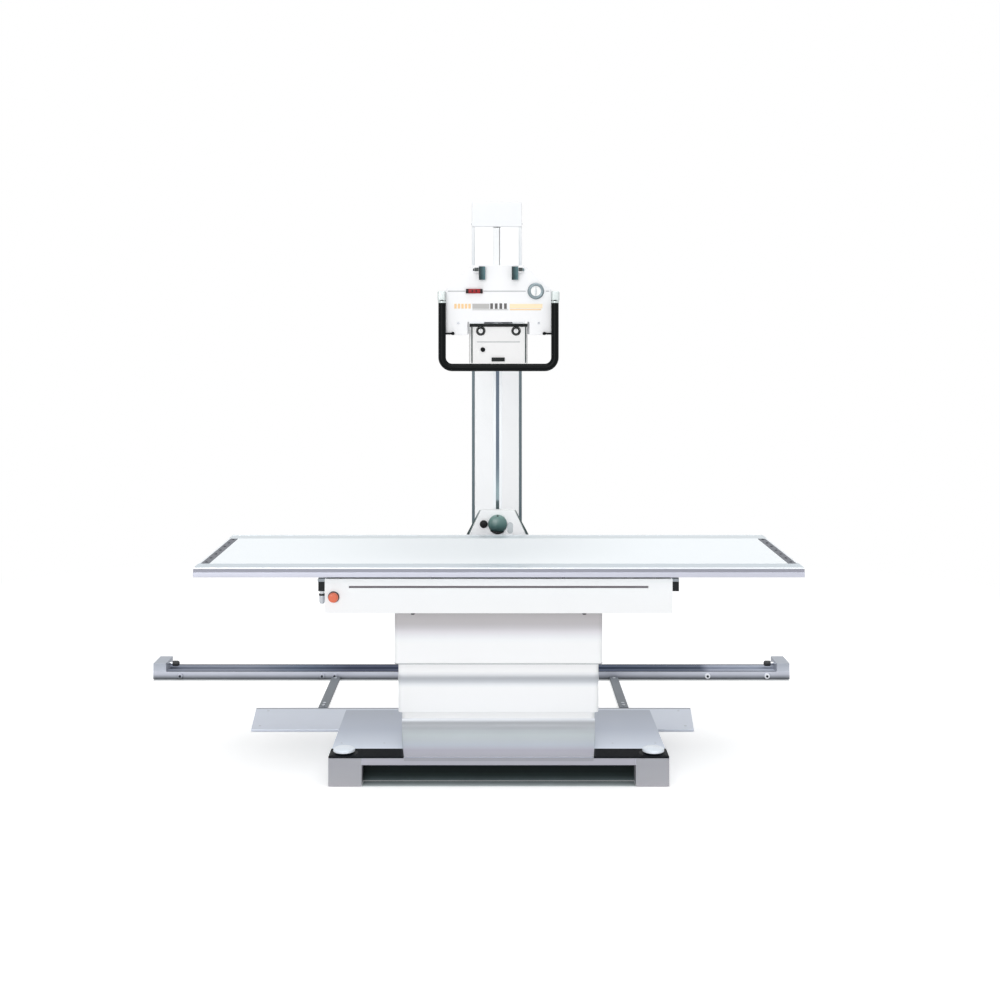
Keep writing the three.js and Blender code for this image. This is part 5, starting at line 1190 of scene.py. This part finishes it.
# Brake bar
# A dark red bar on the seam, pressed to free the arm's brakes. Black end caps and two black ribs give
# it a grip.
bar_low, bar_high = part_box("brake_bar")
bar_red = surface("bar_red", (158, 22, 27), 0.38, grain=500, mottle=0.08, shine=0.3)
bar_black = surface("bar_black", (26, 16, 18), 0.45, grain=500, mottle=0.15, shine=0.25)
eased("brake_bar", 0.003, bar_red)
end_back, rib_half, rib_inset = -0.6604, 0.0022, 0.0035
plates("brake_bar_ends",
       [((left, bar_low.y - 0.0006, bar_low.z - hair), (right, end_back, bar_high.z + hair))
        for left, right in ((bar_low.x - hair, bar_low.x + 0.011),
                            (bar_high.x - 0.010, bar_high.x + hair))],
       0.0025, bar_black, "brake_bar")
plates("brake_bar_ribs",
       [((x - rib_half, bar_low.y - 0.0012, bar_low.z + rib_inset),
         (x + rib_half, bar_low.y + 0.001, bar_high.z - rib_inset))
        for x in (bar_low.x + 0.0235, bar_low.x + 0.0385)],
       0.0006, bar_black, "brake_bar")


# Clamp levers
# Dark green moulded levers hinged on lugs at the top of the hood and flipped up to free the head. Black
# bearing caps close the lugs, and small ribs on each lever stop the thumb from slipping. Each lever is
# painted near black at its left edge and lighter to the right: painted shade.
bearing_black = surface("bearing_black", (44, 54, 54), 0.42, mottle=0.12)
paddle, rib_start, rib_end, rib_width = 0.024, 0.004, 0.020, 0.0022
lug_spread, bearing_half, bearing_foot, bearing_head = 0.0825, 0.0074, 1.8730, 1.8870
for side, sign in both_sides:
    low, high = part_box(f"{side}_clamp_lever")
    left = low.x if sign > 0 else high.x - paddle
    # Each lever's green darkens to near black at its left edge and lightens to the right: painted
    # shade.
    lever_painted_shade = surface(
        f"{side}_lever_painted_shade",
        ("X", tones(left, (0, (16, 32, 35)), (0.009, (28, 62, 67)), (paddle, (86, 122, 128)))),
        0.36, grain=500, mottle=0.1, shine=0.3)
    eased(f"{side}_clamp_lever", 0.0022, lever_painted_shade)
    plates(f"{side}_lever_ribs",
           [((left + rib_start, low.y - 0.0010, low.z + z),
             (left + rib_end, low.y + 0.0008, low.z + z + rib_width)) for z in (0.005, 0.010, 0.015)],
           0.0006, lever_painted_shade, f"{side}_clamp_lever")
    lug = head_middle + sign * lug_spread
    plates(f"{side}_lever_bearing", [((lug - bearing_half, hood_front - 0.0012, bearing_foot),
                                      (lug + bearing_half, hood_front - hair, bearing_head))],
           0.0005, bearing_black, "tube_head")


# Grab handle
# A bent steel tube in a black sleeve that goes round below the head. A pale socket holds it at each
# side of the cover, and a short stay with a ball end steadies it lower down.
handle_low, handle_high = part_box("grab_handle")
handle_black = surface("handle_black", (8, 12, 13), 0.36, grain=700, mottle=0.15, relief=0.06,
                       shine=0.1)
handle_reach, handle_line, handle_half, handle_bend = 0.0142, -0.680, 0.211, 0.038
bend_height, bend_inset = handle_low.z + 0.014 + handle_bend, handle_half - handle_bend
handle_end = seam - 0.034
path = [Vector((head_middle - handle_half, handle_line, handle_end))]
for sign, first in ((-1, 180), (1, 270)):
    path += [Vector((head_middle + sign * bend_inset + handle_bend * math.cos(angle), handle_line,
                     bend_height + handle_bend * math.sin(angle)))
             for angle in swept(first, first + 90, 12)]
path.append(Vector((head_middle + handle_half, handle_line, handle_end)))
handle = led("grab_handle_made", path, Vector((0, 1, 0)), handle_reach, 28, handle_black, "tube_head")
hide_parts("grab_handle")
socket_pale = surface("socket_pale", (204, 212, 211), 0.34, metallic=0.3, grain=400, mottle=0.04)
socket_inner, socket_outer, socket_foot = 0.1978, 0.2278, seam - 0.0380
stay_spread, stay_line, stay_height, stay_foot_spread = 0.1975, -0.6700, 1.641, 0.171
collar = [(0, 0), (0.0152, 0), (0.0156, 0.001), (0.0156, 0.006), (0.0148, 0.007), (0, 0.007)]
stay = [(0, 0), (0.0032, 0), (0.0032, 0.020), (0.0050, 0.022), (0.0066, 0.0265), (0.0050, 0.031),
        (0, 0.033)]
for side, sign in both_sides:
    near, far = sorted((head_middle + sign * socket_inner, head_middle + sign * socket_outer))
    plates(f"{side}_handle_socket", [((near, handle_low.y, socket_foot),
                                      (far, handle_high.y, seam - 0.0003))],
           0.006, socket_pale, "tube_head", steps=4)
    turned(f"{side}_socket_collar", collar,
           (head_middle + sign * handle_half, handle_line, socket_foot + glue), down, socket_pale,
           "tube_head")
    turned(f"{side}_handle_stay", stay, (head_middle + sign * stay_spread, stay_line, stay_height),
           (-sign, 0, 0), handle_black, "tube_head", sides=24)
    turned(f"{side}_stay_foot", [(0, 0), (0.0045, 0), (0.0040, 0.006), (0, 0.006)],
           (head_middle + sign * stay_foot_spread, head_face, stay_height), to_front, handle_black,
           "tube_head", sides=24)


# Collimator
# The white box under the head that shapes the beam: a black top band, partly the painted shadow of the
# gap under the hood, black side plates, two ivory knobs in black rings for the field's sides, a lamp
# button, a catch at the foot and a window under it.
box_low, box_high, box_middle = measured("collimator_body")
box_front, box_foot, box_top = box_low.y, box_low.z, box_high.z
# The box's white is set brighter than the table's: painted light against the shade under the head.
collimator_white = enamel("collimator_white", (254, 254, 254), 0.3, grain=420)
eased("collimator_body", 0.002, collimator_white)
plate_black = surface("side_plate_black", (16, 23, 23), 0.45, grain=500, mottle=0.15, shine=0.25)
edge_grey = surface("plate_edge_grey", (66, 78, 78), 0.45, mottle=0.1, shine=0.2)
# The black top band is partly painted shadow of the gap under the hood.
plates("collimator_top_shadow_band", [((box_low.x - 0.0006, box_front - 0.0016, box_top - 0.0125),
                                (box_high.x + 0.0006, box_front + 0.02, box_top - 0.0006))],
       0.0005, plate_black, "collimator")
plates("collimator_side_plates",
       mirrored(box_middle.x, (box_low.x - 0.0009, box_front + 0.005, box_foot + 0.002),
                (box_low.x - hair, box_high.y - 0.005, box_top - 0.014)),
       0.0003, plate_black, "collimator")
edge_width = 0.005
plates("collimator_edge_strips",
       [((x, box_front - 0.0012, box_foot + 0.004), (x + edge_width, box_front - hair, box_top - 0.013))
        for x in (box_low.x + 0.0065, box_high.x - 0.0085)],
       0.0004, edge_grey, "collimator")
scale_inset, scale_foot, scale_head = 0.028, 1.6070, 1.6095
plates("collimator_scale_line", [((box_low.x + scale_inset, box_front - 0.0005, scale_foot),
                                  (box_high.x - scale_inset, box_front - hair, scale_head))],
       0.0001, tick_grey, "collimator", steps=1)
catch_foot, catch_head = 1.5345, 1.5495
plates("collimator_catch", [((head_middle - 0.026, box_front - 0.0045, catch_foot),
                             (head_middle + 0.024, box_front - hair, catch_head))],
       0.0012, plate_black, "collimator")
knob_ivory = surface("knob_ivory", (244, 245, 246), 0.3, grain=600, mottle=0.02)
field_ring = [(0.0152, 0.0001), (0.0178, 0.0001), (0.0178, 0.0026), (0.0170, 0.0036), (0.0152, 0.0036)]
skirt = [(0, 0.0002), (0.0148, 0.0002), (0.0148, 0.006), (0.0134, 0.0075), (0, 0.0075)]
pointer_half = 0.0006
for side, _ in both_sides:
    low, high, middle = measured(f"{side}_collimator_knob")
    length, root = high.y - low.y, (middle.x, high.y, middle.z)
    turned(f"{side}_field_ring", field_ring, (middle.x, box_front, middle.z), to_front, plate_black,
           "collimator")
    ivory = [(0, 0.004), (0.0090, 0.004), (0.0090, length - 0.0025), (0.0080, length - 0.0006),
             (0.0055, length), (0, length - 0.0003)]
    cap = turned(f"{side}_collimator_knob_made", ivory, root, to_front, knob_ivory,
                 f"{side}_collimator_knob", sides=48)
    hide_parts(f"{side}_collimator_knob")
    turned(f"{side}_field_knob_skirt", skirt, root, to_front, plate_black, f"{side}_collimator_knob",
           lobes=20, lobe_depth=0.0008, sides=100)
    plates(f"{side}_field_pointer", [((middle.x - pointer_half, low.y - 0.0003, middle.z + 0.002),
                                      (middle.x + pointer_half, low.y + 0.001, middle.z + 0.0085))],
           0.0002, plate_black, f"{side}_collimator_knob", steps=1)
eased("lamp_button", 0.001, handle_black)
glass_dark = surface("window_glass", (70, 78, 84), 0.08, mottle=0.05, swing=0.02, relief=0.0, coat=0.5)
beam_line, glass_half = -0.490, 0.062
plates("beam_window_glass",
       [((head_middle - glass_half, beam_line - glass_half, box_foot - 0.0012),
         (head_middle + glass_half, beam_line + glass_half, box_foot - hair))],
       0.0004, glass_dark, "collimator")
rail_bright = surface("accessory_rail_metal", (190, 194, 199), 0.3, metallic=0.9, grain=(500, 12, 500),
                      mottle=0.06)
accessory_inner, accessory_outer, accessory_half = 0.082, 0.094, 0.100
plates("accessory_rails",
       mirrored(head_middle,
                (head_middle - accessory_outer, beam_line - accessory_half, box_foot - 0.006),
                (head_middle - accessory_inner, beam_line + accessory_half, box_foot - hair)),
       0.0008, rail_bright, "collimator")


# Studio
# A pale seamless floor, an even sky, a broad lamp from the front left and a softer one overhead. White
# ground shows to the eye and to reflections, and the floor keeps the shadow.
floor_mesh = bpy.data.meshes.new("studio_floor")
floor_work = bmesh.new()
bmesh.ops.create_grid(floor_work, x_segments=1, y_segments=1, size=30)
floor_work.to_mesh(floor_mesh)
floor_work.free()
studio_floor = bpy.data.objects.new("studio_floor", floor_mesh)
studio_floor.location.z = -0.0005
bpy.context.scene.collection.objects.link(studio_floor)
white, floor_lift, shadow_reach, floor_end = (1, 1, 1, 1), 0.31, 1.8, 4.5
floor_paper = bpy.data.materials.new("floor_paper")
floor_paper.use_nodes = True
floor_mesh.materials.append(floor_paper)
tree = floor_paper.node_tree
to_the_eye = wired(tree, "LightPath", {}).outputs["Is Camera Ray"]
lift = wired(tree, "Math", {0: to_the_eye, 1: floor_lift}, operation="MULTIPLY").outputs["Value"]
paper = tree.nodes["Principled BSDF"]
feed(paper, {"Base Color": (0.93, 0.93, 0.93, 1), "Roughness": 0.9, "Specular IOR Level": 0.1,
             "Emission Color": white, "Emission Strength": lift})
here = wired(tree, "TexCoord", {}).outputs["Object"]
distance = wired(tree, "VectorMath", {0: here}, operation="LENGTH").outputs["Value"]
fade_out = wired(tree, "MapRange", {"Value": distance, "From Min": shadow_reach, "From Max": floor_end})
far_white = wired(tree, "Emission", {})
blend_out = wired(tree, "MixShader", {"Fac": fade_out.outputs["Result"], 1: paper.outputs["BSDF"],
                                      2: far_white.outputs["Emission"]})
feed(tree.nodes["Material Output"], {"Surface": blend_out.outputs["Shader"]})

sky = bpy.data.worlds.new("studio_sky")
sky.use_nodes = True
bpy.context.scene.world = sky
tree = sky.node_tree
even_light = tree.nodes["Background"]
feed(even_light, {"Color": white, "Strength": 0.45})
white_ground = wired(tree, "Background", {"Color": white})
rays = wired(tree, "LightPath", {})
seen = rays.outputs["Is Camera Ray"]
for ray in ("Is Glossy Ray", "Is Transmission Ray"):
    seen = wired(tree, "Math", {0: seen, 1: rays.outputs[ray]}, operation="MAXIMUM").outputs["Value"]
choose = wired(tree, "MixShader", {"Fac": seen, 1: even_light.outputs["Background"],
                                   2: white_ground.outputs["Background"]})
feed(tree.nodes["World Output"], {"Surface": choose.outputs["Shader"]})

for name, power, spread, way in (("front_lamp", 0.92, 26, (-0.22, -0.95, 0.20)),
                                 ("ceiling_lamp", 1.6, 60, (0.10, -0.20, 0.97))):
    lamp = bpy.data.lights.new(name, "SUN")
    lamp.energy = power
    lamp.angle = math.radians(spread)
    hung = bpy.data.objects.new(name, lamp)
    hung.rotation_mode = "QUATERNION"
    hung.rotation_quaternion = Vector(way).to_track_quat("Z", "Y")
    bpy.context.scene.collection.objects.link(hung)

eye = bpy.data.cameras.new("front_eye")
eye.lens = 51.7
eye.sensor_width = 36
eye.shift_x = 0.0095
eye.shift_y = -0.178
eye.clip_end = 100
camera = bpy.data.objects.new("front_eye", eye)
camera.location = (0.090, -6.051, 1.684)
camera.rotation_euler = (math.pi / 2, 0, 0)
bpy.context.scene.collection.objects.link(camera)
bpy.context.scene.camera = camera
bpy.context.scene.view_settings.view_transform = "Standard"
